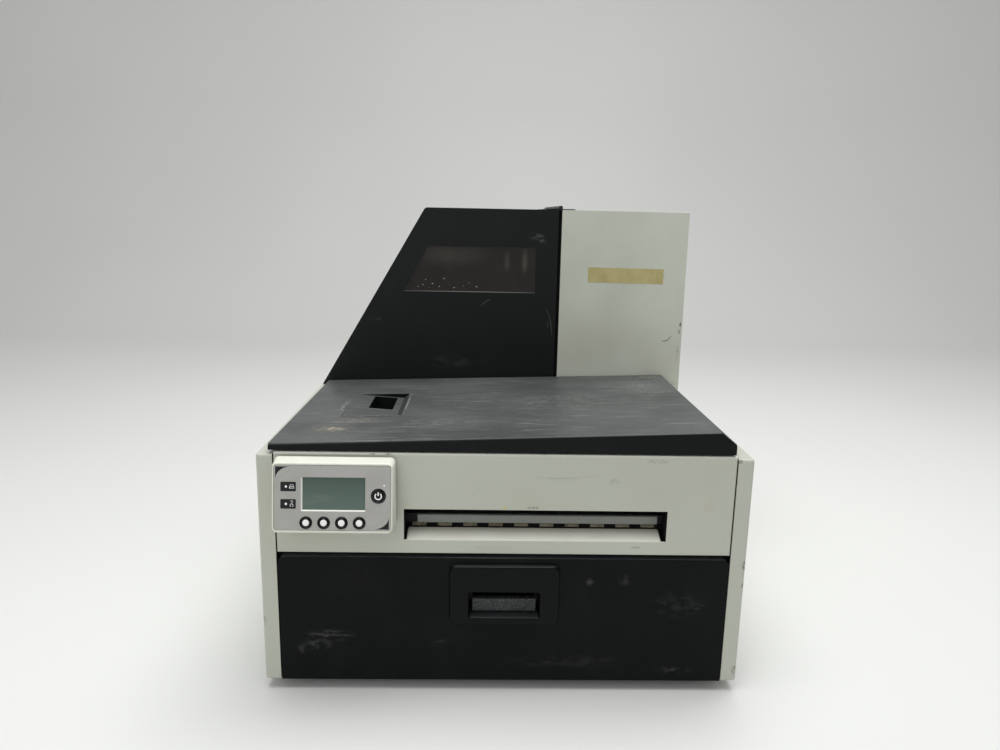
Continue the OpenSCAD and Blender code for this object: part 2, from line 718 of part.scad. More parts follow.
socket_wall = 1.5;
module socket(x, w, h) difference() {
    box([x - w / 2, rear_face - socket_in, board_z + board_t],
        [x + w / 2, rear_face, board_z + board_t + h]);
    box([x - w / 2 + socket_wall, rear_face - socket_in + 2 * socket_wall, board_z + board_t + socket_wall],
        [x + w / 2 - socket_wall, rear_face + over, board_z + board_t + h - socket_wall]);
}
module main_board() placed() {
    color([0.05, 0.3, 0.15])
        box([board_x0, board_y0, board_z], [board_x1, rear_in - over, board_z + board_t]);
    color(zinc) {
        for (x = [board_x0 + 2 * standoff_r, board_x1 - 2 * standoff_r],
             y = [board_y0 + 2 * standoff_r, rear_in - 4 * standoff_r])
            rod_z([x, y, floor_top], standoff_r, board_z - floor_top);
        socket(usb_x, usb_w, usb_h);
        socket(net_x, net_w, net_h);
    }
    color(rubber_black) {
        for (c = chip_places)
            box([board_x0 + c[0] * board_w, board_y0 + c[1] * board_w, board_z + board_t],
                [board_x0 + (c[0] + c[2]) * board_w, board_y0 + (c[1] + c[2]) * board_w,
                board_z + board_t + chip_h]);
        for (c = can_places)
            rod_z([board_x0 + c[0] * board_w, board_y0 + c[1] * board_w, board_z + board_t], can_r, can_h);
    }
}

psu_in = 12;
psu_w = 140;
psu_rear = 30;
psu_d = 150;
psu_x1 = half_w - psu_in;
psu_x0 = psu_x1 - psu_w;
psu_y1 = case_d - psu_rear;
psu_y0 = psu_y1 - psu_d;
psu_z1 = 62;
vent_w = 3;
vent_pitch = 8;
vent_count = 14;
vent_deep = 2 * sheet_t;
psu_core_inset = 26;
psu_core_z = 48;
module power_supply() color(zinc) placed() {
    psu_case();
    box([psu_x0 + psu_core_inset, psu_y0 + psu_core_inset, floor_top],
        [psu_x1 - psu_core_inset, psu_y1 - psu_core_inset, psu_core_z]);
}
module psu_case() difference() {
    box([psu_x0, psu_y0, floor_top], [psu_x1, psu_y1, psu_z1]);
    box([psu_x0 + sheet_t, psu_y0 + sheet_t, floor_top - over],
        [psu_x1 - sheet_t, psu_y1 - sheet_t, psu_z1 - sheet_t]);
    for (i = [0:vent_count - 1])
        box([psu_x0 + vent_pitch * (i + 1.5), psu_y0 + vent_pitch, psu_z1 - vent_deep],
            [psu_x0 + vent_pitch * (i + 1.5) + vent_w, psu_y1 - vent_pitch, psu_z1 + over]);
}

fan_x = 20;
fan_z = 100;
fan_size = 80;
fan_depth = 25;
fan_bore = 37.5;
fan_hub = 17;
fan_hub_deep = 18;
fan_blade_t = 2;
fan_blades = 7;
fan_blade_angle = 32;
strut_w = 5;
strut_t = 4;
strut_set = 0.5;
axle_r = 2;
fan_y0 = rear_in - fan_depth;
module fan_frame() color(rubber_black) placed() translate([fan_x, fan_y0, fan_z]) {
    difference() {
        box([-fan_size / 2, 0, -fan_size / 2], [fan_size / 2, fan_depth, fan_size / 2]);
        rod_y([0, -over, 0], fan_bore, fan_depth + 2 * over);
    }
    for (a = [45:90:315]) rotate([0, a, 0])
        box([fan_hub - over, strut_set, -strut_w / 2], [fan_bore + over, strut_t - strut_set, strut_w / 2]);
    rod_y([0, 0, 0], fan_hub, strut_t);
    rod_y([0, strut_t - over, 0], axle_r, over + fan_hub_deep / 2);
}
module fan_rotor() color([0.12, 0.12, 0.13]) placed() translate([fan_x, fan_y0 + strut_t + part_gap, fan_z])
    difference() {
        union() {
            rod_y([0, 0, 0], fan_hub, fan_hub_deep);
            for (k = [0:fan_blades - 1]) rotate([0, k * 360 / fan_blades, 0])
                rotate([fan_blade_angle, 0, 0]) box([fan_hub - over, fan_depth / 6, -fan_blade_t / 2],
                    [fan_bore - over, fan_depth / 2, fan_blade_t / 2]);
        }
        rod_y([0, -over, 0], axle_r + run_gap, fan_hub_deep / 2 + over + part_gap);
    }

// Power module at the back: an inlet with a rocker switch above it
inlet_in = 40;
inlet_x = half_w - inlet_in;
inlet_z = 95;
inlet_w = 28;
inlet_h = 46;
inlet_deep = 24;
inlet_wall = 2;
inlet_frame = 4;
socket_z = -9;
socket_h = 19;
blade_w = 4;
blade_t = 2;
blade_share = [-0.26, 0, 0.26];
rocker_z = 12;
rocker_half = 7;
rocker_w = 18;
rocker_tip = 3.6;
rocker_dip = 1.8;
rocker_back = 3;
rocker_tilt = 8;
rocker_pin_r = 1;
rocker_y = -2;
rocker_room = 1;
well_half = rocker_half + rocker_room;
well_deep = 4;

module power_inlet() placed() translate([inlet_x, rear_in, inlet_z]) {
    color(rubber_black) difference() {
        union() {
            box([-inlet_w / 2, -inlet_deep, -inlet_h / 2], [inlet_w / 2, sheet_t, inlet_h / 2]);
            box([-inlet_w / 2 - inlet_frame, sheet_t, -inlet_h / 2 - inlet_frame],
                [inlet_w / 2 + inlet_frame, 2 * sheet_t, inlet_h / 2 + inlet_frame]);
        }
        box([-inlet_w / 2 + inlet_wall, -inlet_deep + inlet_wall, socket_z - socket_h / 2],
            [inlet_w / 2 - inlet_wall, 2 * sheet_t + over, socket_z + socket_h / 2]);
        box([-rocker_w / 2 - part_gap, rocker_y - well_deep, rocker_z - well_half],
            [rocker_w / 2 + part_gap, 2 * sheet_t + over, rocker_z + well_half]);
    }
    color(zinc) {
        for (s = blade_share)
            box([s * inlet_w - blade_t / 2, -inlet_deep + inlet_wall, socket_z - blade_w / 2],
                [s * inlet_w + blade_t / 2, -inlet_wall, socket_z + blade_w / 2]);
        rod_x([-rocker_w / 2 - part_gap, rocker_y, rocker_z], rocker_pin_r, rocker_w + 2 * part_gap);
    }
}
module power_switch() color(rubber_black) placed()
    translate([inlet_x, rear_in + rocker_y, inlet_z + rocker_z]) rotate([-rocker_tilt, 0, 0])
    difference() {
        plate_yz(-rocker_w / 2, rocker_w, [[0, -rocker_half], [rocker_tip, -rocker_half],
            [rocker_dip, 0], [rocker_tip, rocker_half], [0, rocker_half],
            [-rocker_back, rocker_dip], [-rocker_back, -rocker_dip]]);
        rod_x([-rocker_w / 2 - over, 0, 0], rocker_pin_r + run_gap, rocker_w + 2 * over);
    }

grille_count = 9;
grille_pitch = 8;
grille_h = 4;
rear_top = side_h - 2 * sheet_t;
module rear_panel() color(white_paint) placed() difference() {
    box([-inner_x, rear_in, floor_top], [inner_x, rear_face, rear_top]);
    for (i = [0:grille_count - 1]) {
        z = (i - (grille_count - 1) / 2) * grille_pitch;
        half = sqrt(pow(fan_bore, 2) - pow(z, 2));
        box([fan_x - half, rear_in - over, fan_z + z - grille_h / 2],
            [fan_x + half, rear_face + over, fan_z + z + grille_h / 2]);
    }
    box([inlet_x - inlet_w / 2, rear_in - over, inlet_z - inlet_h / 2],
        [inlet_x + inlet_w / 2, rear_face + over, inlet_z + inlet_h / 2]);
    box([usb_x - usb_w / 2, rear_in - over, board_z + board_t],
        [usb_x + usb_w / 2, rear_face + over, board_z + board_t + usb_h]);
    box([net_x - net_w / 2, rear_in - over, board_z + board_t],
        [net_x + net_w / 2, rear_face + over, board_z + board_t + net_h]);
    for (x = [-screw_x, screw_x]) screw_holes(x);
}
module panel_screws() color(dark_steel) placed()
    for (x = [-screw_x, screw_x], z = screw_rows) {
        rod_y([x, case_d - screw_len, z], screw_shank_r, screw_len);
        rod_y([x, case_d, z], screw_r, screw_h);
    }

// Roll bay: floor with the media slot, and the wall that carries the spindle
bay_z0 = side_h - 2 * sheet_t;
bay_floor_y0 = lid_d + over;
media_set = 7;
media_w = 16;
media_y0 = tower_y + media_set;
bay_wall_y0 = tower_y + cover_t + over;
bay_wall_y1 = case_d - cover_t - over;
bay_wall_drop = 6;
bay_wall_z1 = tower_top - bay_wall_drop;
hub_r = 22;
hub_len = 12;
spindle_r = 12;
spindle_tail = 11;

module roll_bay() color(dark_steel) placed() difference() {
    union() {
        box([-inner_x, bay_floor_y0, bay_z0], [inner_x, rear_face, bay_z0 + sheet_t]);
        box([bay_x, bay_wall_y0, bay_z0], [bay_x + sheet_t, bay_wall_y1, bay_wall_z1]);
        rod_x([bay_x, spindle_y, spindle_z], hub_r, sheet_t + hub_len);
    }
    box([slot_x0 - window_margin, media_y0, bay_z0 - over],
        [slot_x1 + window_margin, media_y0 + media_w, bay_z0 + sheet_t + over]);
    rod_x([bay_x - over, spindle_y, spindle_z], spindle_r + run_gap, sheet_t + hub_len + 2 * over);
}

// Spindle, sliding guide and its motor
mandrel_over = 10;
mandrel_x0 = slot_x0 - mandrel_over;
rim_r = guide_r;
rim_t = 3;
rim_gap = 2;
mandrel_wall = 3;
shaft_bore_deep = 8;
motor_axle_r = 4;
spindle_motor_r = 24;
spindle_motor_len = 42;
hole_ring_share = 0.68;
hole_share = 0.16;
hole_count = 6;

module roll_spindle() color([0.2, 0.21, 0.22]) placed() difference() {
    union() {
        rod_x([mandrel_x0, spindle_y, spindle_z], mandrel_r, bay_x - rim_gap - mandrel_x0);
        rod_x([bay_x - rim_gap - rim_t, spindle_y, spindle_z], rim_r, rim_t);
        rod_x([bay_x - rim_gap, spindle_y, spindle_z], spindle_r, rim_gap + sheet_t + spindle_tail);
    }
    rod_x([mandrel_x0 - over, spindle_y, spindle_z], mandrel_r - mandrel_wall,
        bay_x - rim_gap - rim_t - mandrel_x0 + over);
    rod_x([bay_x + sheet_t + spindle_tail - shaft_bore_deep, spindle_y, spindle_z],
        motor_axle_r + run_gap, shaft_bore_deep + over);
}
guide_set = 3;
guide_x = slot_x0 - guide_set;
guide_t = 4;
guide_hub_wall = 7;
guide_hub_r = mandrel_r + guide_hub_wall;
guide_hub_len = 8;
module roll_guide() color([0.23, 0.24, 0.25]) placed() difference() {
    union() {
        rod_x([guide_x, spindle_y, spindle_z], guide_r, guide_t);
        rod_x([guide_x - guide_hub_len / 2, spindle_y, spindle_z], guide_hub_r, guide_hub_len);
    }
    rod_x([guide_x - guide_hub_len, spindle_y, spindle_z], mandrel_r + run_gap, 3 * guide_hub_len);
    for (k = [0:hole_count - 1]) translate([guide_x - over, spindle_y, spindle_z])
        rotate([k * 360 / hole_count, 0, 0])
        rod_x([0, 0, guide_r * hole_ring_share], guide_r * hole_share, guide_t + 2 * over);
}
module spindle_motor() color(dark_steel) placed() {
    rod_x([bay_x + sheet_t + hub_len, spindle_y, spindle_z], spindle_motor_r, spindle_motor_len);
    rod_x([bay_x + sheet_t + spindle_tail - shaft_bore_deep + part_gap, spindle_y, spindle_z],
        motor_axle_r, shaft_bore_deep + hub_len - spindle_tail);
}

// Tower: fixed housing, lift-up cover, window and the hinge along the top
hinge_x = (cover_x1 + housing_x0) / 2;
hinge_r = 2.4;
hinge_lift = 0.1;
hinge_z = tower_top + hinge_r + hinge_lift;
hinge_pin_r = 1.2;
leaf_t = 1.2;
leaf_w = 17;
leaf_gap = 0.5;
leaf_set = 0.3;
knuckles = 7;
knuckle_len = (case_d - tower_y) / knuckles;
housing_t = sheet_t;
housing_lip = 10;
edge_r = 5;
arc_steps = 6;

// A leaf of the top hinge: side is -1 for the cover and 1 for the housing
module hinge_leaf(side, first) {
    x_near = hinge_x + side * (hinge_r + part_gap + leaf_gap);
    x_far = hinge_x + side * leaf_w;
    box([min(x_near, x_far), tower_y, tower_top - leaf_set],
        [max(x_near, x_far), case_d, tower_top + leaf_t]);
    for (k = [first:2:knuckles - 1]) {
        y0 = tower_y + k * knuckle_len + (k == 0 ? 0 : part_gap / 2);
        y1 = tower_y + (k + 1) * knuckle_len - (k == knuckles - 1 ? 0 : part_gap / 2);
        box([min(hinge_x, x_near), y0, tower_top + part_gap],
            [max(hinge_x, x_near), y1, tower_top + leaf_t]);
        rod_y([hinge_x, y0, hinge_z], hinge_r, y1 - y0);
    }
}
module hinge_bore() rod_y([hinge_x, tower_y - over, hinge_z], hinge_pin_r + run_gap,
    case_d - tower_y + 2 * over);

module tower_housing() color(white_paint) placed() difference() {
    union() {
        difference() {
            box([housing_x0, tower_y, side_h], [half_w, case_d, tower_top]);
            box([housing_x0 - over, tower_y + housing_t, side_h - over],
                [half_w - housing_t, case_d - housing_t, tower_top - housing_t]);
        }
        box([housing_x0, tower_y, side_h], [housing_x0 + housing_t, tower_y + housing_lip, tower_top]);
        box([housing_x0, case_d - housing_lip, side_h], [housing_x0 + housing_t, case_d, tower_top]);
        hinge_leaf(1, 0);
    }
    hinge_bore();
}

// Outline of the cover in X and Z, with rounded corners at its top
cover_lean = atan2(tower_top - cover_z0, cover_top_x - cover_low_x);
function round_corner(x, z, r, turn0, turn1) = [for (k = [0:arc_steps])
    let (a = turn0 + (turn1 - turn0) * k / arc_steps) [x + r * cos(a), z + r * sin(a)]];
cover_outline = concat([[cover_low_x, cover_z0], [cover_x1, cover_z0], [cover_x1, tower_top]],
    round_corner(cover_top_x + edge_r * tan(cover_lean / 2), tower_top - edge_r, edge_r,
        90, 90 + cover_lean));
skin_x = cover_t / sin(cover_lean);
cover_inside = [[cover_low_x + skin_x - (over / tan(cover_lean)), cover_z0 - over],
    [cover_x1 + over, cover_z0 - over], [cover_x1 + over, tower_top - cover_t],
    [cover_top_x + skin_x - cover_t / tan(cover_lean), tower_top - cover_t]];
pane_drop = 44.5;
pane_h = 54;
pane_right = 25.5;
pane_left = 98.5;
pane_slope = 29;
window_z_high = tower_top - pane_drop;
window_z_low = window_z_high - pane_h;
window_x1 = cover_x1 - pane_right;
window_low_x = cover_low_x + pane_left;
window_high_x = window_low_x + pane_slope;
window_outline = [[window_low_x, window_z_low], [window_x1, window_z_low],
    [window_x1, window_z_high], [window_high_x, window_z_high]];
pane_rim = 5;
pane_t = 2;
pane_outline = [[window_low_x - pane_rim, window_z_low - pane_rim],
    [window_x1 + pane_rim, window_z_low - pane_rim],
    [window_x1 + pane_rim, window_z_high + pane_rim],
    [window_high_x - pane_rim, window_z_high + pane_rim]];

module tower_cover() color(black_plastic) placed() difference() {
    union() {
        difference() {
            plate_xz(tower_y, case_d - tower_y, cover_outline);
            plate_xz(tower_y + cover_t, case_d - tower_y - 2 * cover_t, cover_inside);
        }
        hinge_leaf(-1, 1);
    }
    plate_xz(tower_y - over, cover_t + 2 * over, window_outline);
    hinge_bore();
}
module cover_window() color([0.25, 0.22, 0.2, 0.6]) placed()
    plate_xz(tower_y + cover_t, pane_t, pane_outline);

// Hinge pins: the cover's long pin and the two pins under the door
door_pin_r = 2;
door_knuckle_r = 3.5;
door_bracket_in = 14;
door_bracket_x = front_x - door_bracket_in;
door_bracket_t = 4;
door_lug_t = 5;
module hinge_pins() color(dark_steel) placed() {
    rod_y([hinge_x, tower_y, hinge_z], hinge_pin_r, case_d - tower_y);
    for (side = [-1, 1]) mirror([side < 0 ? 1 : 0, 0, 0]) {
        rod_x([door_bracket_x - door_lug_t, door_axis_y, door_axis_z], door_pin_r,
            2 * door_lug_t + door_bracket_t);
        rod_x([door_bracket_x, door_axis_y, door_axis_z], door_knuckle_r, door_bracket_t);
        box([door_bracket_x, door_axis_y, door_axis_z - door_knuckle_r / 2],
            [door_bracket_x + door_bracket_t, frame_y, door_axis_z + door_knuckle_r]);
    }
}

// Lid: a thin wedge with a finger recess, hinged along its right side
ridge_front_in = 14;
ridge_rear_in = 6;
ridge_front_x = lid_x1 - ridge_front_in;
ridge_rear_x = lid_x1 - ridge_rear_in;
lid_edge_h = 9.5;
lid_edge_z = lid_z0 + lid_edge_h;
lid_y0 = 0.5;
lid_axis_in = 2.5;
lid_axis_rise = 5;
lid_axis_x = lid_x1 - lid_axis_in;
lid_axis_z = lid_z0 + lid_axis_rise;
lid_pin_r = 2;
lid_knuckle_r = 3.5;
lid_bracket_t = 5;
lid_lug_t = 5;
lug_set = 0.5;
station_front = 40;
station_rear = 41;
lid_stations = [station_front, lid_d - station_rear];
bracket_drop = 30;
bracket_set = 1;
recess_in = 47;
recess_w = 60;
recess_rear = 83;
recess_d = 98;
recess_slope = 7;
recess_rise = 2.2;
recess_x0 = lid_x0 + recess_in;
recess_x1 = recess_x0 + recess_w;
recess_y1 = lid_d - recess_rear;
recess_y0 = recess_y1 - recess_d;
recess_floor_z = lid_z0 + recess_rise;
well_in = 21;
well_w = 25;
well_rear = 3;
well_d = 52;
well_drop = 12.5;
well_x0 = recess_x0 + well_in;
well_x1 = well_x0 + well_w;
well_y1 = recess_y1 - well_rear;
well_y0 = well_y1 - well_d;
well_z = lid_z0 - well_drop;
well_wall = 2;

function lid_profile(left_z, ridge_x, ridge_z, inset, low) = [
    [lid_x0 + inset, low], [lid_x0 + inset, left_z - inset],
    [ridge_x - inset / 2, ridge_z - inset], [lid_x1 - inset, lid_edge_z - inset / 2],
    [lid_x1 - inset, low]];
module lid_wedge(inset, y0, y1, low) {
    a = lid_profile(lid_left_front_z, ridge_front_x, lid_ridge_front_z, inset, low);
    b = lid_profile(lid_left_rear_z, ridge_rear_x, lid_ridge_rear_z, inset, low);
    n = len(a);
    polyhedron(concat([for (p = a) [p[0], y0, p[1]]], [for (p = b) [p[0], y1, p[1]]]),
        concat([[for (i = [0:n - 1]) i]], [[for (i = [n - 1:-1:0]) n + i]],
            [for (i = [0:n - 1]) [i, n + i, n + (i + 1) % n]],
            [for (i = [0:n - 1]) [i, n + (i + 1) % n, (i + 1) % n]]));
}
module top_lid() color(black_plastic) placed() difference() {
    union() {
        difference() {
            lid_wedge(0, lid_y0, lid_d, lid_z0);
            lid_wedge(lid_t, lid_y0 + lid_t, lid_d - lid_t, lid_z0 - over);
        }
        intersection() {
            lid_wedge(0, lid_y0, lid_d, lid_z0);
            box([recess_x0 - lid_t, recess_y0 - lid_t, lid_z0],
                [recess_x1 + lid_t, recess_y1 + lid_t, lid_ridge_front_z]);
        }
        box([well_x0 - well_wall, well_y0 - well_wall, well_z - well_wall],
            [well_x1 + well_wall, well_y1 + well_wall, recess_floor_z - lug_set]);
        for (y = lid_stations, side = [0, 1]) {
            y0 = y + (side ? lid_bracket_t + part_gap : -lid_lug_t - part_gap);
            rod_y([lid_axis_x, y0, lid_axis_z], lid_knuckle_r, lid_lug_t);
            box([lid_axis_x - lid_knuckle_r, y0, lid_axis_z],
                [lid_x1 - lug_set, y0 + lid_lug_t, lid_edge_z]);
        }
    }
    plate_xz(recess_y0, recess_y1 - recess_y0, [
        [recess_x0, lid_ridge_rear_z], [recess_x0, lid_left_front_z],
        [recess_x1 - recess_slope, recess_floor_z], [recess_x1, lid_left_front_z + lid_t],
        [recess_x1, lid_ridge_rear_z]]);
    box([well_x0, well_y0, well_z], [well_x1, well_y1, lid_ridge_rear_z]);
    for (y = lid_stations) {
        box([lid_axis_x - lid_knuckle_r - over, y - part_gap, lid_z0 - over],
            [lid_x1 + over, y + lid_bracket_t + part_gap, lid_axis_z + lid_knuckle_r + part_gap]);
        rod_y([lid_axis_x, y - lid_lug_t - over, lid_axis_z], lid_pin_r + run_gap,
            2 * lid_lug_t + lid_bracket_t + 2 * over);
    }
}
module lid_hinge() color(dark_steel) placed() for (y = lid_stations) {
    rod_y([lid_axis_x, y - lid_lug_t, lid_axis_z], lid_pin_r, 2 * lid_lug_t + lid_bracket_t);
    rod_y([lid_axis_x, y, lid_axis_z], lid_knuckle_r, lid_bracket_t);
    plate_xz(y, lid_bracket_t, [[lid_axis_x - lid_knuckle_r, lid_axis_z],
        [lid_axis_x - lid_knuckle_r, side_h - bracket_drop], [inner_x, side_h - bracket_drop],
        [inner_x, side_h - sheet_t - bracket_set],
        [lid_axis_x + lid_knuckle_r, side_h - sheet_t - bracket_set],
        [lid_axis_x + lid_knuckle_r, lid_axis_z]]);
}

// Door, latch bezel, paddle and bolt
door_low_z = 0.5;
door_corner = 4;
door_return_z = 14;
pocket_rim = 3;
pocket_box_wall = 2;
pocket_deep = 13;
bezel_bevel = 5;
bezel_skin = 0.4;
bezel_corner = 4;
pocket_floor = pocket_z0 - pocket_rim;
pocket_roof = pocket_z1 + pocket_rim;

module front_door() color(black_plastic) placed() difference() {
    union() {
        plate_xz(0, door_t, [[-front_x, door_low_z], [front_x, door_low_z],
            [front_x, door_top - door_corner], [front_x - door_corner, door_top],
            [-front_x + door_corner, door_top], [-front_x, door_top - door_corner]]);
        box([-front_x + door_corner, 0, door_top - door_t], [front_x - door_corner, door_fold, door_top]);
        for (x = [-front_x, front_x - door_t])
            box([x, 0, door_return_z], [x + door_t, door_fold, door_top - door_corner]);
        for (side = [-1, 1], x = [door_bracket_x - door_lug_t - part_gap,
            door_bracket_x + door_bracket_t + part_gap]) mirror([side < 0 ? 1 : 0, 0, 0]) {
            rod_x([x, door_axis_y, door_axis_z], door_knuckle_r, door_lug_t);
            box([x, door_t / 2, door_axis_z - door_knuckle_r],
                [x + door_lug_t, door_axis_y, door_axis_z + door_knuckle_r]);
        }
    }
    for (side = [-1, 1]) mirror([side < 0 ? 1 : 0, 0, 0])
        rod_x([door_bracket_x - door_lug_t - over, door_axis_y, door_axis_z], door_pin_r + run_gap,
            2 * door_lug_t + door_bracket_t + 2 * over);
    box([-pocket_w / 2 - pocket_rim, -over, pocket_floor],
        [pocket_w / 2 + pocket_rim, door_t + over, pocket_roof]);
}

paddle_axis_y = 6;
paddle_rise = 3.5;
paddle_axis_z = pocket_z0 + paddle_rise;
paddle_pin_r = 1.2;
paddle_barrel_r = 2.6;
paddle_half = 29;
paddle_t = 2.5;
paddle_h = 12.5;
paddle_top = paddle_axis_z + paddle_h;
ridge_h = 3;
ridge_y = 0.5;
module latch_bezel() color(black_plastic) placed() {
    difference() {
        union() {
            hull() {
                translate([0, 0, (bezel_z0 + bezel_z1) / 2]) rotate([90, 0, 0]) linear_extrude(bezel_skin)
                    round_rect(bezel_w, bezel_z1 - bezel_z0, bezel_corner);
                translate([0, -bezel_proud + bezel_skin, (bezel_z0 + bezel_z1) / 2]) rotate([90, 0, 0])
                    linear_extrude(bezel_skin)
                    round_rect(bezel_w - bezel_bevel, bezel_z1 - bezel_z0 - bezel_bevel, bezel_corner);
            }
            box([-pocket_w / 2 - pocket_rim, -bezel_skin, pocket_floor],
                [pocket_w / 2 + pocket_rim, pocket_deep + pocket_box_wall, pocket_roof]);
        }
        box([-pocket_w / 2, -bezel_proud - over, pocket_z0], [pocket_w / 2, pocket_deep, pocket_z1]);
    }
    rod_x([-pocket_w / 2 - over, paddle_axis_y, paddle_axis_z], paddle_pin_r, pocket_w + 2 * over);
}
module latch_paddle() color(black_plastic) placed() difference() {
    union() {
        rod_x([-paddle_half, paddle_axis_y, paddle_axis_z], paddle_barrel_r, 2 * paddle_half);
        box([-paddle_half, paddle_axis_y - paddle_barrel_r, paddle_axis_z],
            [paddle_half, paddle_axis_y - paddle_barrel_r + paddle_t, paddle_top]);
        box([-paddle_half, ridge_y, paddle_top - ridge_h], [paddle_half, paddle_axis_y, paddle_top]);
    }
    rod_x([-paddle_half - over, paddle_axis_y, paddle_axis_z], paddle_pin_r + run_gap,
        2 * (paddle_half + over));
}
bolt_half = 8;
bolt_t = 2.2;
bolt_rise = 6;
bolt_z0 = pocket_z0 + bolt_rise;
bolt_clear = 0.6;
module latch_bolt() color(zinc) placed() {
    y0 = pocket_deep + pocket_box_wall + part_gap;
    box([-bolt_half, y0, bolt_z0], [bolt_half, y0 + bolt_t, keeper_z - bolt_clear]);
}

// Control panel: a leaning housing on a black back plate, overlay, display and buttons
control_draft = 1.5;
control_corner = 4;
control_skin = 0.4;
control_edge = 1.5;
control_back_t = 3;
control_wall = 2;
control_rim = 3.5;
control_room = 9;
overlay_w = 100;
overlay_h = 56.4;
overlay_t = 0.6;
overlay_corner = 2;
lcd_x = 0.7;
lcd_y = 2.6;
lcd_w = 53.6;
lcd_h = 28.4;
lcd_t = 1;
lcd_rim = 3;
lcd_deep = 5;
menu_x0 = -22.4;
menu_pitch = 15.2;
power_place = [39.4, 2.1];
button_flange = 1;
button_flange_t = 1.5;

module on_face() translate([control_x, -(control_top_proud + control_low_proud) / 2, control_z])
    rotate([90 - control_tilt, 0, 0]) children();
module round_plate(w, h, r, t) linear_extrude(t) {
    square([w - 2 * r, h], center = true);
    square([w, h - 2 * r], center = true);
    for (x = [-1, 1], y = [-1, 1]) translate([x * (w / 2 - r), y * (h / 2 - r)]) circle(r);
}
module key_holes(deep) {
    for (i = [0:3]) translate([menu_x0 + i * menu_pitch, menu_y, -deep])
        cylinder(r = menu_r + part_gap, h = deep + over);
    translate([power_place[0], power_place[1], -deep]) cylinder(r = power_r + part_gap, h = deep + over);
    translate([lcd_x, lcd_y, -deep / 2 + over / 2]) cube([lcd_w, lcd_h, deep + over], center = true);
}
module control_housing() color([0.85, 0.86, 0.82]) placed() difference() {
    hull() {
        on_face() translate([0, 0, -control_skin]) linear_extrude(control_skin)
            round_rect(control_w - control_edge, control_h - control_edge, control_corner);
        on_face() translate([0, 0, -control_edge - control_skin]) linear_extrude(control_skin)
            round_rect(control_w, control_h, control_corner);
        translate([control_x, -control_back_t, control_z]) rotate([90, 0, 0]) linear_extrude(control_skin)
            round_rect(control_w + control_draft, control_h + control_draft, control_corner);
    }
    on_face() {
        translate([0, 0, -overlay_t]) round_plate(overlay_w, overlay_h, overlay_corner, overlay_t + over);
        translate([0, 0, -control_wall - control_room / 2])
            cube([control_w - 2 * control_rim, control_h - 2 * control_rim, control_room], center = true);
        key_holes(control_wall + over);
    }
}
module control_back() color(rubber_black) placed() {
    translate([control_x, 0, control_z]) rotate([90, 0, 0])
        round_plate(control_w - control_draft, control_h - control_draft, control_corner, control_back_t);
    rod_y([control_x, 0, control_z], cable_r - part_gap, panel_fold);
}
module control_overlay() color([0.66, 0.66, 0.64]) placed() on_face() difference() {
    translate([0, 0, -overlay_t]) round_plate(overlay_w, overlay_h, overlay_corner, overlay_t);
    key_holes(control_wall);
}
module lcd_window() color([0.35, 0.42, 0.38]) placed() on_face() {
    translate([lcd_x, lcd_y, -control_wall + lcd_t / 2])
        cube([lcd_w - 2 * part_gap, lcd_h - 2 * part_gap, lcd_t], center = true);
    translate([lcd_x, lcd_y, -control_wall - lcd_deep / 2])
        cube([lcd_w + 2 * lcd_rim, lcd_h + 2 * lcd_rim, lcd_deep], center = true);
}
module button(r, at) placed() on_face() translate([at[0], at[1], 0]) {
    translate([0, 0, -control_wall - button_flange_t]) cylinder(r = r + button_flange, h = button_flange_t);
    translate([0, 0, -control_wall]) cylinder(r = r, h = control_wall + button_proud);
}
module menu_button(i) color(rubber_black) button(menu_r, [menu_x0 + (i - 1) * menu_pitch, menu_y]);
module power_button() color(rubber_black) button(power_r, power_place);

// Exit guide: the grey bar above the exit, the ramp below it and its end cheeks
bar_y = 16;
bar_t = 3;
bar_rise = 7;
bar_h = 3.5;
bar_z0 = path_z + bar_rise;
bar_z1 = bar_z0 + bar_h;
ramp_y1 = 20;
ramp_t = 2;
cheek_t = 2;
cheek_drop = 6;
cheek_z0 = slot_z0 - cheek_drop;
ramp_set = 1;
module exit_guide() color([0.72, 0.73, 0.7]) placed() {
    box([slot_x0 - cheek_t, bar_y, bar_z0], [slot_x1 + cheek_t, bar_y + bar_t, bar_z1]);
    plate_yz(slot_x0, slot_x1 - slot_x0, [[sheet_t, slot_z0 - ramp_t], [ramp_y1, path_z - ramp_t - ramp_set],
        [ramp_y1, path_z - ramp_set], [bar_y, path_z - ramp_set], [sheet_t, slot_z0]]);
    for (x = [slot_x0 - cheek_t, slot_x1])
        box([x, sheet_t, cheek_z0], [x + cheek_t, bar_y + bar_t, slot_z1 - ramp_set]);
}

base_pan();
left_side_panel();
right_side_panel();
front_panel();
rear_panel();
front_frame();
deck();
engine_frame();
feet();
panel_screws();
hinge_pins();
lid_hinge();
control_back();
control_housing();
control_overlay();
lcd_window();
menu_button(1);  // menu_button_1
menu_button(2);  // menu_button_2
menu_button(3);  // menu_button_3
menu_button(4);  // menu_button_4
power_button();
exit_guide();
exit_roller();
exit_wheels();
infeed_roller();
pinch_roller();
feed_motor();
motor_pulley();
drive_belt();
maintenance_drum();
printhead_carrier();
printhead();
printhead_lever();
ink_bay();
ink_tank(0);  // ink_tank_1
ink_tank(1);  // ink_tank_2
ink_tank(2);  // ink_tank_3
ink_tank(3);  // ink_tank_4
ink_tank(4);  // ink_tank_5
ink_manifold();
ink_tubes();
main_board();
power_supply();
fan_frame();
fan_rotor();
power_inlet();
power_switch();
tower_housing();
roll_bay();
roll_spindle();
roll_guide();
spindle_motor();
tower_cover();
cover_window();
top_lid();
front_door();
latch_bezel();
latch_paddle();
latch_bolt();
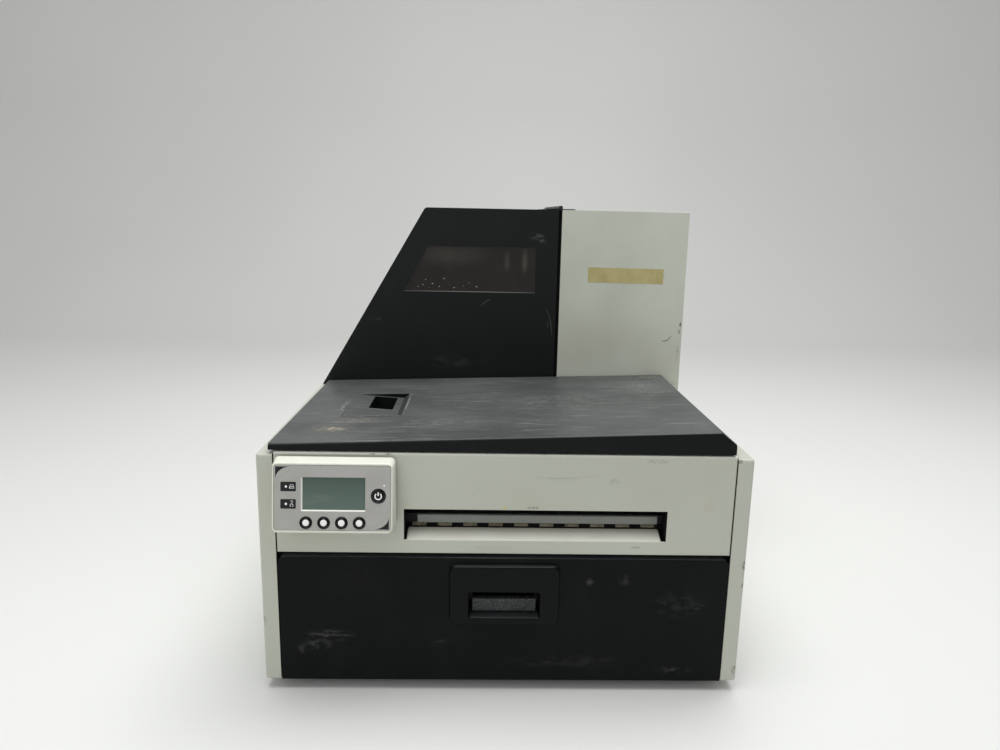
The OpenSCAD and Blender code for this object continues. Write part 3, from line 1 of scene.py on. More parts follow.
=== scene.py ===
# %% [markdown]
# A desktop printer for rolls of color labels, dressed to look like a photograph of a used one.
# The CAD model is the frame: every sheet, shaft and button is already in its real place, in metres.
# This lesson gives that frame a camera, light and finishes, rounds the edges that a press brake or
# a mould leaves round, and adds the thin things that CAD leaves out, such as print, dust and tape.

# %% Load the packed printer
import json
import math

import bmesh
import bpy
from mathutils import Matrix, Vector


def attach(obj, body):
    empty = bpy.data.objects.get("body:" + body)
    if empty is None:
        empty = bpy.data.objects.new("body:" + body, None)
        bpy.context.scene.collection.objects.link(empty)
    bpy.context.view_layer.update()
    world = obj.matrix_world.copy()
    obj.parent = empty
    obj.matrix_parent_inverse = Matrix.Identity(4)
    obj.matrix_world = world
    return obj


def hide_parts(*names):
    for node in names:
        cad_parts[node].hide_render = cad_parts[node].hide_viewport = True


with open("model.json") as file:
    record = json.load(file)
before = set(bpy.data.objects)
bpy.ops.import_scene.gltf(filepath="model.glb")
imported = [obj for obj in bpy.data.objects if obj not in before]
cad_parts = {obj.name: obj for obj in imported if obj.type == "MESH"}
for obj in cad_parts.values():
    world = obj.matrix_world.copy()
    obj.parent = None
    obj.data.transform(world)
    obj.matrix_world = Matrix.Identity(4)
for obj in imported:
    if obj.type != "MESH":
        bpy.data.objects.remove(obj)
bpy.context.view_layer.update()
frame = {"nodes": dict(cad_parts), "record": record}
nodes = frame["nodes"]
body_of_node = {n: b for b, names in frame["record"]["behaviour"]["bodies"].items() for n in names}
slot_of_node = {s["node"]: s["material_slot"] for s in frame["record"]["subparts"]}

# %% [markdown]
# The drawing of this printer measures X from its middle, Y back from the front face of the case and
# Z up from the lower edge of the side panels, in millimetres. The frame stands on its feet and has
# its middle at zero, so one small function turns a place on the drawing into a place in the scene.

# %% From the drawing to the scene
CASE_SHIFT_Y = -238.0443
FOOT_HEIGHT = 10.0


def at(x, y, z):
    return Vector((x, y + CASE_SHIFT_Y, z + FOOT_HEIGHT)) / 1000


def mm(*values):
    scaled = [v / 1000 for v in values]
    return scaled[0] if len(scaled) == 1 else scaled


print("front lower left corner of the case:", at(-220, 0, 0))

# %% [markdown]
# The photograph was taken from a little above the lid, with the camera turned slightly to the right
# and held almost level. Its place was found by fitting the corners of the case, the tower and the
# lid to the picture. Turning it by hand with three angles would do, but the fit gives unit vectors,
# and they go into the camera's matrix as columns, since a Blender camera looks along its own minus Z
# with plus Y up. The fit also gives the focal length, in pixels of a picture 1000 pixels wide.

# %% Camera
PICTURE_WIDTH = 1000
FOCAL_LENGTH_IN_PIXELS = 764.92
eye = Vector((-0.02403, -0.88020, 0.43710))
right = Vector((0.999586, -0.021083, 0.019572))
down = Vector((0.014815, -0.205922, -0.978456))
forward = Vector((0.024659, 0.978341, -0.205525))

camera_data = bpy.data.cameras.new("photo_camera")
camera_data.sensor_width = 36.0
camera_data.lens = FOCAL_LENGTH_IN_PIXELS / PICTURE_WIDTH * camera_data.sensor_width
camera_data.clip_start = 0.01
camera = bpy.data.objects.new("photo_camera", camera_data)
camera.matrix_world = Matrix((
    (right.x, -down.x, -forward.x, eye.x),
    (right.y, -down.y, -forward.y, eye.y),
    (right.z, -down.z, -forward.z, eye.z),
    (0, 0, 0, 1),
))
bpy.context.scene.collection.objects.link(camera)
bpy.context.scene.camera = camera
print("lens, mm:", round(camera_data.lens, 2))

# %% [markdown]
# Colours are written as they look on a screen, from 0 to 255, because that is how they are compared
# with the photograph. Blender's sockets want linear light, so each colour is converted once here.

# %% Screen colours to linear light
def screen(red, green, blue):
    def linear(v):
        v /= 255
        return v / 12.92 if v <= 0.04045 else ((v + 0.055) / 1.055) ** 2.4
    return (linear(red), linear(green), linear(blue), 1.0)


print("half grey on a screen is", round(screen(128, 128, 128)[0], 3), "of full light")

# %% [markdown] The printer stands on a pale floor that curves up into a backdrop, as in a small
# studio. A floor and a wall would do, but the line where they meet would show behind the printer.

# %% Floor and backdrop
def studio_sweep(depth_front, depth_back, bend, height, half_width, steps=16):
    mesh = bpy.data.meshes.new("studio_sweep")
    profile = [(-depth_front, 0.0), (depth_back - bend, 0.0)]
    for k in range(1, steps + 1):
        turn = math.pi / 2 * k / steps
        profile.append((depth_back - bend + bend * math.sin(turn), bend - bend * math.cos(turn)))
    profile.append((depth_back, height))
    points = [(x, y, z) for y, z in profile for x in (-half_width, half_width)]
    faces = [(2 * i, 2 * i + 1, 2 * i + 3, 2 * i + 2) for i in range(len(profile) - 1)]
    mesh.from_pydata(points, [], faces)
    mesh.polygons.foreach_set("use_smooth", [True] * len(mesh.polygons))
    sweep = bpy.data.objects.new("studio_sweep", mesh)
    bpy.context.scene.collection.objects.link(sweep)
    return sweep


sweep = studio_sweep(depth_front=2.5, depth_back=2.6, bend=0.9, height=4.0, half_width=8.0)
print("floor and backdrop, faces:", len(sweep.data.polygons))

# %% [markdown]
# The light comes from a large panel overhead, like the ceiling lamps of the room in the photograph,
# from a weaker one in front, and from an even world. A sun or a spot would throw hard shadows. Large
# panels keep them soft, so that they gather below the control panel and in the slot, as on the real
# one. The levels are plain, so that a colour renders about as it is written.

# %% Lamps and world
LIT_POINT = (0, 0, 0.2)
AIR_STRENGTH = 0.47


def area_lamp(name, place, size, watts):
    data = bpy.data.lights.new(name, "AREA")
    data.shape = "RECTANGLE"
    data.size, data.size_y = size
    data.energy = watts
    lamp = bpy.data.objects.new(name, data)
    lamp.location = place
    lamp.rotation_euler = (Vector(LIT_POINT) - Vector(place)).to_track_quat("-Z", "Y").to_euler()
    bpy.context.scene.collection.objects.link(lamp)


area_lamp("ceiling_panel", place=(0.1, -0.1, 2.1), size=(2.2, 1.2), watts=44)
area_lamp("front_panel_light", place=(-0.9, -2.2, 1.3), size=(1.6, 1.2), watts=9)

world = bpy.data.worlds.new("studio_air")
bpy.context.scene.world = world
world.use_nodes = True
air = world.node_tree.nodes["Background"]
air.inputs["Color"].default_value = (1.0, 1.0, 1.0, 1.0)
air.inputs["Strength"].default_value = AIR_STRENGTH
bpy.context.scene.view_settings.view_transform = "Standard"
print("lamps, watts:", {lamp.name: lamp.energy for lamp in bpy.data.lights})

# %% [markdown]
# A finish here is a small tree of nodes that works from the place of each point on the printer, in
# metres. One class holds the tree and gives short names to the few steps that every finish needs:
# a noise of a given fineness, a soft mask, a spot around a point, a mix of two colours and a bump.
# A painted picture could do the same, but it needs every piece unfolded flat, and nodes need nothing.
# The places come from Object coordinates, which move with a lid or a door when it opens.

# %% The parts of a finish
class Finish:
    def __init__(self, name, roughness, metallic=0.0):
        self.material = bpy.data.materials.new(name)
        self.material.use_nodes = True
        self.tree = self.material.node_tree
        self.shader = self.tree.nodes["Principled BSDF"]
        self.shader.inputs["Roughness"].default_value = roughness
        self.shader.inputs["Metallic"].default_value = metallic
        self.place = self.add("ShaderNodeTexCoord").outputs["Object"]

    def add(self, kind, **settings):
        node = self.tree.nodes.new(kind)
        for key, value in settings.items():
            setattr(node, key, value)
        return node

    def feed(self, value, socket):
        if isinstance(value, bpy.types.NodeSocket):
            self.tree.links.new(value, socket)
        else:
            socket.default_value = value

    def noise(self, per_metre, detail=2.0, stretch=(1, 1, 1), shift=0.0):
        scale = self.add("ShaderNodeMapping")
        self.feed(self.place, scale.inputs["Vector"])
        scale.inputs["Scale"].default_value = [per_metre * s for s in stretch]
        scale.inputs["Location"].default_value = (shift, shift * 2, shift * 3)
        cloud = self.add("ShaderNodeTexNoise")
        cloud.inputs["Scale"].default_value = 1.0
        cloud.inputs["Detail"].default_value = detail
        self.feed(scale.outputs["Vector"], cloud.inputs["Vector"])
        return cloud.outputs["Fac"]

    def ramp(self, value, low, high, to=1.0):
        step = self.add("ShaderNodeMapRange", interpolation_type="SMOOTHSTEP")
        self.feed(value, step.inputs["Value"])
        step.inputs["From Min"].default_value = low
        step.inputs["From Max"].default_value = high
        step.inputs["To Max"].default_value = to
        return step.outputs["Result"]

    def math(self, kind, a, b=0.0):
        step = self.add("ShaderNodeMath", operation=kind)
        self.feed(a, step.inputs[0])
        self.feed(b, step.inputs[1])
        return step.outputs[0]

    def axis(self, letter):
        split = self.add("ShaderNodeSeparateXYZ")
        self.feed(self.place, split.inputs[0])
        return split.outputs[letter]

    def spot(self, centre, radius, squeeze=(1, 1, 1), edge=0.6):
        offset = self.add("ShaderNodeVectorMath", operation="SUBTRACT")
        self.feed(self.place, offset.inputs[0])
        offset.inputs[1].default_value = centre
        shape = self.add("ShaderNodeVectorMath", operation="DIVIDE")
        self.feed(offset.outputs[0], shape.inputs[0])
        shape.inputs[1].default_value = [radius * s for s in squeeze]
        reach = self.add("ShaderNodeVectorMath", operation="LENGTH")
        self.feed(shape.outputs[0], reach.inputs[0])
        return self.ramp(reach.outputs["Value"], 1.0, 1.0 - edge)

    def upward(self):
        facing = self.add("ShaderNodeSeparateXYZ")
        self.feed(self.add("ShaderNodeTexCoord").outputs["Normal"], facing.inputs[0])
        return self.ramp(facing.outputs["Z"], 0.6, 0.95)

    def mix(self, share, a, b):
        blend = self.add("ShaderNodeMix", data_type="RGBA")
        self.feed(share, blend.inputs["Factor"])
        self.feed(a, blend.inputs["A"])
        self.feed(b, blend.inputs["B"])
        return blend.outputs["Result"]

    def colour(self, value):
        self.feed(value, self.shader.inputs["Base Color"])

    def bump(self, height, depth, strength=1.0):
        relief = self.add("ShaderNodeBump")
        relief.inputs["Distance"].default_value = depth
        relief.inputs["Strength"].default_value = strength
        self.feed(height, relief.inputs["Height"])
        self.feed(relief.outputs["Normal"], self.shader.inputs["Normal"])


print("steps of a finish:", [step for step in vars(Finish) if not step.startswith("_")])

# %% [markdown]
# The case is painted sheet steel. Powder paint dries with a fine orange-peel skin, and on a used
# machine it has yellowed unevenly and carries a few dark specks. A coarse noise shifts the colour by
# a few percent, a thin one places the specks, and a fine one gives the skin. Chips and scuffs are
# measured from the picture, so each is a mark of its own: a place, a radius in metres, how far that
# radius is squeezed along X, Y and Z, a colour and a strength.

# %% White powder paint
PAINT = screen(183, 186, 174)
PAINT_OLD = screen(178, 180, 167)
PAINT_SPECK = screen(92, 92, 84)


def white_paint(name="white_powder_paint", marks=(), blackened_above=None, tone=PAINT, lit_fold=None):
    paint = Finish(name, roughness=0.42)
    cloud = paint.ramp(paint.noise(9, 4), 0.25, 0.8)
    colour = paint.mix(cloud, tone, PAINT_OLD)
    speck = paint.ramp(paint.noise(330, 1, shift=7.0), 0.80, 0.84, to=0.6)
    colour = paint.mix(speck, colour, PAINT_SPECK)
    for place, radius, squeeze, mark_tone, amount in marks:
        rough_edge = paint.ramp(paint.noise(700, 2, shift=2.0), 0.38, 0.55)
        mask = paint.math("MULTIPLY", paint.spot(place, radius, squeeze), rough_edge)
        colour = paint.mix(paint.math("MULTIPLY", mask, amount), colour, mark_tone)
    if lit_fold:
        colour = paint.mix(paint.upward(), colour, lit_fold)
    if blackened_above:
        hinge_share = paint.ramp(paint.axis("Z"), blackened_above, blackened_above + mm(0.05))
        colour = paint.mix(hinge_share, colour, screen(20, 21, 22))
    paint.colour(colour)
    paint.bump(paint.noise(1100, 2), depth=0.00004, strength=0.35)
    return paint.material


print("paint, linear:", [round(v, 3) for v in PAINT[:3]], "yellowed:", [round(v, 3) for v in PAINT_OLD[:3]])

# %% [markdown]
# The door, the lid and the tower's cover are black. The door is textured paint that holds grey dust,
# the lid is smoother and shows tan smears where hands push it shut, and the cover is the glossiest.
# Three finishes could be written out, but they differ only in gloss and in where the dust lies, so
# one function makes them all. What faces up is lightened, partly as dust and fine streaks and partly
# as painted highlight and sheen. A smear is a mark whose last value stretches its streaks.

# %% Black shells
DUST = screen(92, 91, 88)


def black_shell(name, tone, roughness, dust_share, gloss=0.22, smears=(), upward_dust_and_highlight=None,
                smears_on_front=True):
    shell = Finish(name, roughness)
    shell.shader.inputs["Specular IOR Level"].default_value = gloss
    cloud = shell.noise(22, 4)
    fine = shell.noise(420, 3, shift=3.0)
    film = shell.math("MULTIPLY", shell.ramp(cloud, 0.42, 0.75), shell.ramp(fine, 0.35, 0.75))
    colour = shell.mix(shell.math("MULTIPLY", film, dust_share), tone, DUST)
    # What faces up is lightened: partly dust and fine streaks, partly painted highlight and sheen.
    if upward_dust_and_highlight:
        lying_dust_and_sheen, rubbed_hairs_and_sheen = upward_dust_and_highlight
        swirl = shell.ramp(shell.noise(9, 8, stretch=(0.7, 1, 1), shift=9.0), 0.2, 0.8, to=0.5)
        grit = shell.ramp(shell.noise(1500, 2, shift=1.0), 0.3, 0.7, to=0.5)
        dust_and_sheen_share = shell.math("MULTIPLY", shell.math("ADD", swirl, 0.38), shell.math("ADD", grit, 0.5))
        colour = shell.mix(shell.math("MULTIPLY", shell.upward(), dust_and_sheen_share), colour, lying_dust_and_sheen)
        hair_streaks_and_sheen = shell.ramp(shell.noise(420, 2, stretch=(0.05, 1.2, 1), shift=4.0), 0.60, 0.70, to=0.42)
        colour = shell.mix(shell.math("MULTIPLY", shell.upward(), hair_streaks_and_sheen), colour, rubbed_hairs_and_sheen)
    for place, radius, squeeze, smear_tone, amount, streak in smears:
        streaks = shell.ramp(shell.noise(160, 3, stretch=streak, shift=5.0), 0.40, 0.68)
        mask = shell.math("MULTIPLY", shell.spot(place, radius, squeeze, edge=0.9), streaks)
        if not smears_on_front:
            mask = shell.math("MULTIPLY", mask, shell.upward())
        colour = shell.mix(shell.math("MULTIPLY", mask, amount), colour, smear_tone)
    shell.colour(colour)
    shell.bump(shell.noise(900, 2), depth=0.00005, strength=0.4)
    return shell.material


print("dust, linear:", [round(v, 3) for v in DUST[:3]])

# %% [markdown]
# Inside are zinc-plated sheets, dark steel shafts, moulded plastics and rubber. Zinc has a faint
# grain from the rolling mill, so its noise is stretched along one axis. The plastics get a fine
# moulded grain and a thin worn film in a lighter tone of their own. Each could be a tree written out
# in full, but they differ in a few numbers only, so two functions make them.

# %% Metal, plastic and rubber inside
WORN_SHARE = 0.12


def plated_steel(name, tone, roughness):
    steel = Finish(name, roughness, metallic=0.85)
    lines = steel.noise(900, 2, stretch=(1, 0.03, 1))
    blotch = steel.ramp(steel.noise(35, 2), 0.3, 0.75)
    darker = [c * 0.72 for c in tone[:3]] + [1.0]
    steel.colour(steel.mix(blotch, tone, darker))
    steel.bump(lines, depth=0.00003, strength=0.3)
    return steel.material


def moulded(name, tone, roughness, grain=1300, skin=0.00004, gloss=0.5):
    plastic = Finish(name, roughness)
    plastic.shader.inputs["Specular IOR Level"].default_value = gloss
    worn = [min(1.0, c * 1.6 + 0.01) for c in tone[:3]] + [1.0]
    film = plastic.math("MULTIPLY", plastic.ramp(plastic.noise(60, 4), 0.4, 0.8), WORN_SHARE)
    plastic.colour(plastic.mix(film, tone, worn))
    plastic.bump(plastic.noise(grain, 2), depth=skin, strength=0.4)
    return plastic.material


print("share of the worn film on plastics:", WORN_SHARE)

# %% [markdown]
# A clear sheet is a plastic that lets light through, less so where a reflection is painted on it.
# Blender's ready-made glass would be too clean for a window that has been wiped for years, so the sheet
# is the same kind of finish with a share of transmission, which each painted reflection lowers.

# %% Clear sheet
def clear_sheet(name, tone, roughness, see_through, marks):
    sheet = Finish(name, roughness)
    film = sheet.ramp(sheet.noise(60, 4), 0.35, 0.8, to=0.5)
    lighter = [min(1.0, c * 1.5 + 0.02) for c in tone[:3]] + [1.0]
    colour = sheet.mix(film, tone, lighter)
    reflection_share = 0.0
    # Each mark is a painted reflection: a lighter spot through which less light passes.
    for place, radius, squeeze, mark_tone, amount in marks:
        mask = sheet.math("MULTIPLY", sheet.spot(place, radius, squeeze, edge=0.9), amount)
        colour = sheet.mix(mask, colour, mark_tone)
        reflection_share = sheet.math("ADD", reflection_share, mask)
    sheet.colour(colour)
    clear = sheet.math("MULTIPLY", sheet.math("SUBTRACT", 1.0, reflection_share), see_through)
    sheet.feed(clear, sheet.shader.inputs["Transmission Weight"])
    sheet.shader.inputs["IOR"].default_value = 1.45
    sheet.bump(sheet.noise(300, 2), depth=0.00002, strength=0.2)
    return sheet.material


KINDS = (white_paint, black_shell, plated_steel, moulded, clear_sheet)
print("kinds of finish:", [kind.__name__ for kind in KINDS])

# %% [markdown]
# The record of the CAD model gives every piece a material slot, such as zinc or foot_rubber. Finishes
# could be given piece by piece, but a table from slot to finish dresses them all in one pass, the
# hidden ones too, so that nothing is left in a flat colour. The smoked window has three soft lighter
# places in it, which are painted reflections.

# %% Finishes by material slot
BLACK_PAINT = screen(9, 11, 12)
finishes = {
    "white_paint": white_paint(),
    "zinc": plated_steel("zinc_plate", screen(168, 170, 174), 0.38),
    "dark_steel": plated_steel("blackened_steel", screen(62, 63, 66), 0.45),
    "case_black": black_shell("black_shell", BLACK_PAINT, 0.46, 0.1),
    "gloss_black": black_shell("black_gloss_shell", screen(15, 18, 19), 0.36, 0.06),
    "foot_rubber": moulded("foot_rubber", screen(16, 16, 16), 0.8, gloss=0.2),
    "roller_rubber": moulded("roller_rubber", screen(30, 30, 30), 0.7),
    "exit_rubber": moulded("exit_rubber", screen(160, 140, 108), 0.75),
    "panel_ivory": moulded("panel_ivory", screen(214, 216, 203), 0.42),
    "overlay_grey": moulded("overlay_film", screen(172, 171, 167), 0.5),
    "display": moulded("display_body", screen(60, 66, 62), 0.5),
    "button_black": moulded("button_black", screen(8, 9, 10), 0.22, skin=0.00001, gloss=0.25),
    "guide_grey": moulded("guide_grey", screen(178, 180, 172), 0.5),
    "motor_metal": plated_steel("motor_can", screen(96, 98, 102), 0.4),
    "head_black": moulded("head_black", screen(40, 41, 44), 0.45),
    "lever_blue": moulded("lever_blue", screen(38, 92, 138), 0.4),
    "ink_black": moulded("ink_tank_black", screen(34, 34, 37), 0.4),
    "ink_cyan": moulded("ink_tank_cyan", screen(30, 130, 170), 0.4),
    "ink_magenta": moulded("ink_tank_magenta", screen(170, 40, 96), 0.4),
    "ink_yellow": moulded("ink_tank_yellow", screen(206, 178, 44), 0.4),
    "tube_clear": moulded("tube_milky", screen(196, 198, 192), 0.35),
    "circuit_board": moulded("circuit_board", screen(28, 82, 52), 0.45, grain=500, skin=0.0001),
    "fan_black": moulded("fan_black", screen(22, 22, 24), 0.5, gloss=0.25),
    # Its three marks are painted reflections.
    "smoked_window": clear_sheet("smoked_window", screen(94, 87, 78), 0.06, 0.93, marks=(
        (at(5, 279, 372), 0.016, (0.32, 4, 1.0), screen(150, 138, 122), 0.2),
        (at(26, 279, 372), 0.018, (0.30, 4, 1.2), screen(150, 138, 122), 0.26),
        (at(-60, 279, 380), 0.040, (1.4, 4, 0.5), screen(96, 90, 80), 0.2))),
}
for name, obj in nodes.items():
    obj.data.materials.clear()
    obj.data.materials.append(finishes[slot_of_node[name]])
print("finishes:", len(finishes), "left without one:", set(slot_of_node.values()) - set(finishes))

# %% [markdown]
# The floor has a finish of its own, because one flat colour looks false under a detailed object. Two
# close tones of pale grey and a faint relief are enough, and both are dark enough not to burn out.

# %% Floor finish
floor_finish = Finish("studio_floor_paint", 0.6)
floor_cloud = floor_finish.ramp(floor_finish.noise(0.8, 2), 0.3, 0.7)
floor_finish.colour(floor_finish.mix(floor_cloud, screen(222, 223, 220), screen(218, 219, 217)))
floor_finish.bump(floor_finish.noise(40, 2), depth=0.0002, strength=0.1)
sweep.data.materials.append(floor_finish.material)
print("nodes in the floor's finish:", len(floor_finish.tree.nodes))

# %% [markdown]
# Sheet metal is folded and plastic is moulded, so no outer edge of the real printer is knife sharp.
# The CAD solids stay sharp, and a rounded copy stands in for each one that shows. The copy merges the
# flat triangles back into whole faces first, because a bevel needs clean edges, and then rounds only
# the edges that are picked. A bevel modifier would round every edge alike.

# %% Rounded copies of CAD nodes
FLAT_WITHIN = math.radians(0.6)
ROUNDED_ABOVE = math.radians(25)


def clean_mesh(node):
    shape = bmesh.new()
    shape.from_mesh(nodes[node].data)
    bmesh.ops.remove_doubles(shape, verts=shape.verts, dist=2e-6)
    bmesh.ops.dissolve_limit(shape, angle_limit=FLAT_WITHIN, use_dissolve_boundaries=False,
                             verts=shape.verts, edges=shape.edges)
    return shape


def round_edges(shape, width, pick, segments):
    edges = []
    for edge in shape.edges:
        if len(edge.link_faces) == 2 and edge.calc_face_angle(0) > ROUNDED_ABOVE:
            a, b = edge.verts[0].co, edge.verts[1].co
            if pick is None or pick(a, b):
                edges.append(edge)
    bmesh.ops.bevel(shape, geom=edges, offset=width, offset_type="OFFSET", segments=segments,
                    profile=0.5, affect="EDGES", clamp_overlap=True, loop_slide=True)
    return len(edges)


print("rounding takes edges that turn by more than", round(math.degrees(ROUNDED_ABOVE)), "degrees")

# %% [markdown] Every new piece ends in the same way. Its shape becomes a mesh, is shaded smooth up to
# a sharp angle and gets its finish. These lines could follow each piece, but one function keeps them
# from being forgotten. Weighted normals keep the big faces flat and let only the rounds shade.

# %% From a shape to a piece
SMOOTH_BELOW = math.radians(35)


def finish_piece(shape, name, body, material, replaced=()):
    mesh = bpy.data.meshes.new(name)
    bmesh.ops.recalc_face_normals(shape, faces=shape.faces)
    shape.to_mesh(mesh)
    shape.free()
    mesh.polygons.foreach_set("use_smooth", [True] * len(mesh.polygons))
    mesh.set_sharp_from_angle(angle=SMOOTH_BELOW)
    mesh.materials.append(material)
    piece = bpy.data.objects.new(name, mesh)
    bpy.context.scene.collection.objects.link(piece)
    even = piece.modifiers.new("flat_faces_stay_flat", "WEIGHTED_NORMAL")
    even.keep_sharp = True
    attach(piece, body)
    if replaced:
        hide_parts(*replaced)
    return piece


def rounded_copy(node, rounds, material=None):
    shape = clean_mesh(node)
    counts = [round_edges(shape, mm(width), pick, segments) for width, pick, segments in rounds]
    slot = slot_of_node[node]
    piece = finish_piece(shape, node + "_rounded", body_of_node[node],
                         material or finishes[slot], replaced=[node])
    print(node, "rounded edges:", counts, "faces:", len(piece.data.polygons))
    return piece


# %% [markdown]
# A round is a width in millimetres, a test that picks its edges, and a number of steps. Edges could be
# picked by their number, but numbers change with the CAD model and places stay. So these small tests
# say whether both ends of an edge are on a plane of the drawing, within a twentieth of a millimetre.

# %% Picking edges by their place
def on_plane(axis, value, slack=0.05):
    shift = {"x": 0.0, "y": CASE_SHIFT_Y, "z": FOOT_HEIGHT}[axis]
    index = "xyz".index(axis)
    place = (value + shift) / 1000
    return lambda a, b: abs(a[index] - place) < slack / 1000 and abs(b[index] - place) < slack / 1000


def above(z):
    low = at(0, 0, z).z
    return lambda a, b: min(a.z, b.z) > low


def both(*tests):
    return lambda a, b: all(t(a, b) for t in tests)


def either(*tests):
    return lambda a, b: any(t(a, b) for t in tests)


print("front face of the case, m:", round(at(0, 0, 0).y, 4), "its lower edge:", round(at(0, 0, 0).z, 4))

# %% [markdown]
# The two side panels are sheets folded inwards at every edge, so their outer corners have the radius
# of the press brake, about 2.5 mm. The CAD model could carry these rounds, but it is easier to handle
# without them. Only edges on the outside of the fold are rounded. The edge of the flange is a cut
# edge: it gets a tiny round that catches the light as a thin line.

# %% Side panels
HALF_WIDTH, DEPTH, SIDE_HEIGHT, FLANGE_EDGE = 220, 500, 219, 205.5
folds = [both(on_plane("x", side), on_plane(axis, value)) for side in (-HALF_WIDTH, HALF_WIDTH)
         for axis, value in (("y", 0), ("y", DEPTH), ("z", 0), ("z", SIDE_HEIGHT))]
folds += [both(on_plane("y", 0), on_plane("z", value)) for value in (0, SIDE_HEIGHT)]
side_rounds = [
    (2.6, either(*folds), 4),
    (0.35, either(on_plane("x", FLANGE_EDGE), on_plane("x", -FLANGE_EDGE)), 2),
]
side_paint = white_paint("side_panel_paint", marks=(
    (at(219, 0, 118), 0.0035, (1, 1, 1.8), screen(70, 68, 62), 0.9),
    (at(219, 0, 98), 0.0025, (1, 1, 1.6), screen(90, 86, 78), 0.8),
    (at(218, 0, 12), 0.004, (1, 1, 1.5), screen(80, 78, 72), 0.8),
    (at(-219, 0, 60), 0.003, (1, 1, 2.2), screen(96, 94, 86), 0.7),
    (at(207, 0, 217), 0.0022, (1.2, 1, 1), screen(40, 40, 38), 0.95)))
for panel in ("left_side_panel", "right_side_panel"):
    rounded_copy(panel, side_rounds, side_paint)

# %% [markdown]
# The front panel is folded too. Its upper fold shows as a bright line under the lid. A lamp placed
# for it would light other edges as well, so the fold is lightened in the paint, where it faces up.
# The sheet around the exit slot is cut, with small rounds from deburring.

# %% Front panel
PANEL_TOP, PANEL_FOOT, PANEL_EDGE = 221, 127, 204.5
SLOT_EDGES = (("z", 140), ("z", 169), ("x", -91), ("x", 145))
front_rounds = [
    (2.2, both(on_plane("y", 0), on_plane("z", PANEL_TOP)), 4),
    (1.4, both(on_plane("y", 0), either(on_plane("z", PANEL_FOOT), on_plane("x", PANEL_EDGE),
                                        on_plane("x", -PANEL_EDGE))), 3),
    (0.4, either(*[on_plane(axis, value) for axis, value in SLOT_EDGES]), 2),
]
SCUFF = screen(150, 151, 140)
CHIP = screen(48, 46, 42)
front_paint = white_paint("front_panel_paint", lit_fold=screen(226, 229, 218), marks=(
    (at(-118, 0.4, 220.6), 0.0034, (1, 1, 0.6), CHIP, 1.0),
    (at(-104.5, 0.4, 220.6), 0.0036, (1.4, 1, 0.4), CHIP, 1.0),
    (at(-1.9, 0, 170.9), 0.0022, (1.2, 0.1, 0.8), screen(196, 178, 88), 0.9),
    (at(24, 0, 171.6), 0.0032, (2.2, 0.1, 0.5), screen(104, 104, 96), 0.8),
    (at(134, 0, 216), 0.010, (1.4, 0.1, 0.3), screen(140, 140, 130), 0.45),
    (at(96, 0, 197), 0.007, (1.0, 0.1, 0.6), SCUFF, 0.45),
    (at(50, 0, 199), 0.010, (1.8, 0.1, 0.25), SCUFF, 0.25),
    (at(182, 0, 174), 0.010, (0.6, 0.1, 0.9), screen(182, 170, 152), 0.35),
    (at(118, 0, 134.5), 0.0035, (1.6, 0.1, 0.35), CHIP, 0.5),
    (at(-10, 0, 133), 0.010, (2.4, 0.1, 0.3), SCUFF, 0.25)))
rounded_copy("front_panel", front_rounds, front_paint)

# %% [markdown]
# The ink door is a shallow tray with a folded top. The corner between its face and its top return is
# the thin light line that shows below the front panel, a painted highlight on what faces up, with a
# little dust. Hands have left pale hazy places on it. They could be one noise all over the face, but in
# the picture they lie in a few spots, so they are placed one by one, and kept very thin along Y so that
# they stay on the outer face.

# %% Ink door
HAZE = screen(62, 63, 62)
# The door's upward faces, its top return most, get a painted highlight with a little dust.
door_finish = black_shell("door_shell", BLACK_PAINT, 0.44, 0.05, gloss=0.1,
                          upward_dust_and_highlight=(screen(84, 88, 88), screen(100, 103, 103)), smears=(
    (at(-160, 0, 45), 0.024, (1.2, 0.04, 0.34), screen(84, 86, 84), 0.6, (0.7, 1, 1.6)),
    (at(-172, 0, 36), 0.016, (1.2, 0.04, 0.5), screen(74, 76, 75), 0.6, (0.8, 1, 1.2)),
    (at(-186, 0, 33), 0.007, (1, 0.04, 1.2), HAZE, 0.7, (1, 1, 1)),
    (at(-60, 0, 40), 0.012, (1.3, 0.04, 0.6), screen(40, 42, 42), 0.8, (0.5, 1, 1.5)),
    (at(160, 0, 12), 0.014, (1.6, 0.04, 0.4), HAZE, 0.6, (0.8, 1, 1.4)),
    (at(78, 0, 100.5), 0.0055, (1, 0.04, 1), HAZE, 0.9, (1, 1, 1)),
    (at(110, 0, 102.7), 0.0075, (1, 0.04, 1), HAZE, 0.7, (1, 1, 1)),
    (at(160, 0, 78), 0.026, (1.2, 0.04, 0.7), screen(40, 42, 42), 0.8, (0.6, 1, 1.2)),
    (at(178, 0, 76), 0.010, (1.2, 0.04, 0.4), HAZE, 0.7, (0.6, 1, 1.2)),
    (at(60, 0, 20), 0.030, (2.4, 0.04, 0.3), screen(40, 41, 41), 0.8, (0.3, 1, 1))))
rounded_copy("front_door", [
    (1.6, both(on_plane("y", 0), on_plane("z", 123)), 4),
    (1.0, on_plane("y", 0), 3),
    (0.5, None, 2),
], door_finish)

# %% [markdown]
# The lid, the tower's cover and its housing close the top. The lid is a moulding with soft edges all
# round, the cover has the largest radii, and the housing is folded sheet like the case. The smears on
# the lid are kept to what faces up, so its underside is clean when it opens. Some knuckles of the
# cover's hinge belong to the white housing in the CAD model. They could be cut off as a piece, but a
# finish that turns black above the top of the tower does the same.

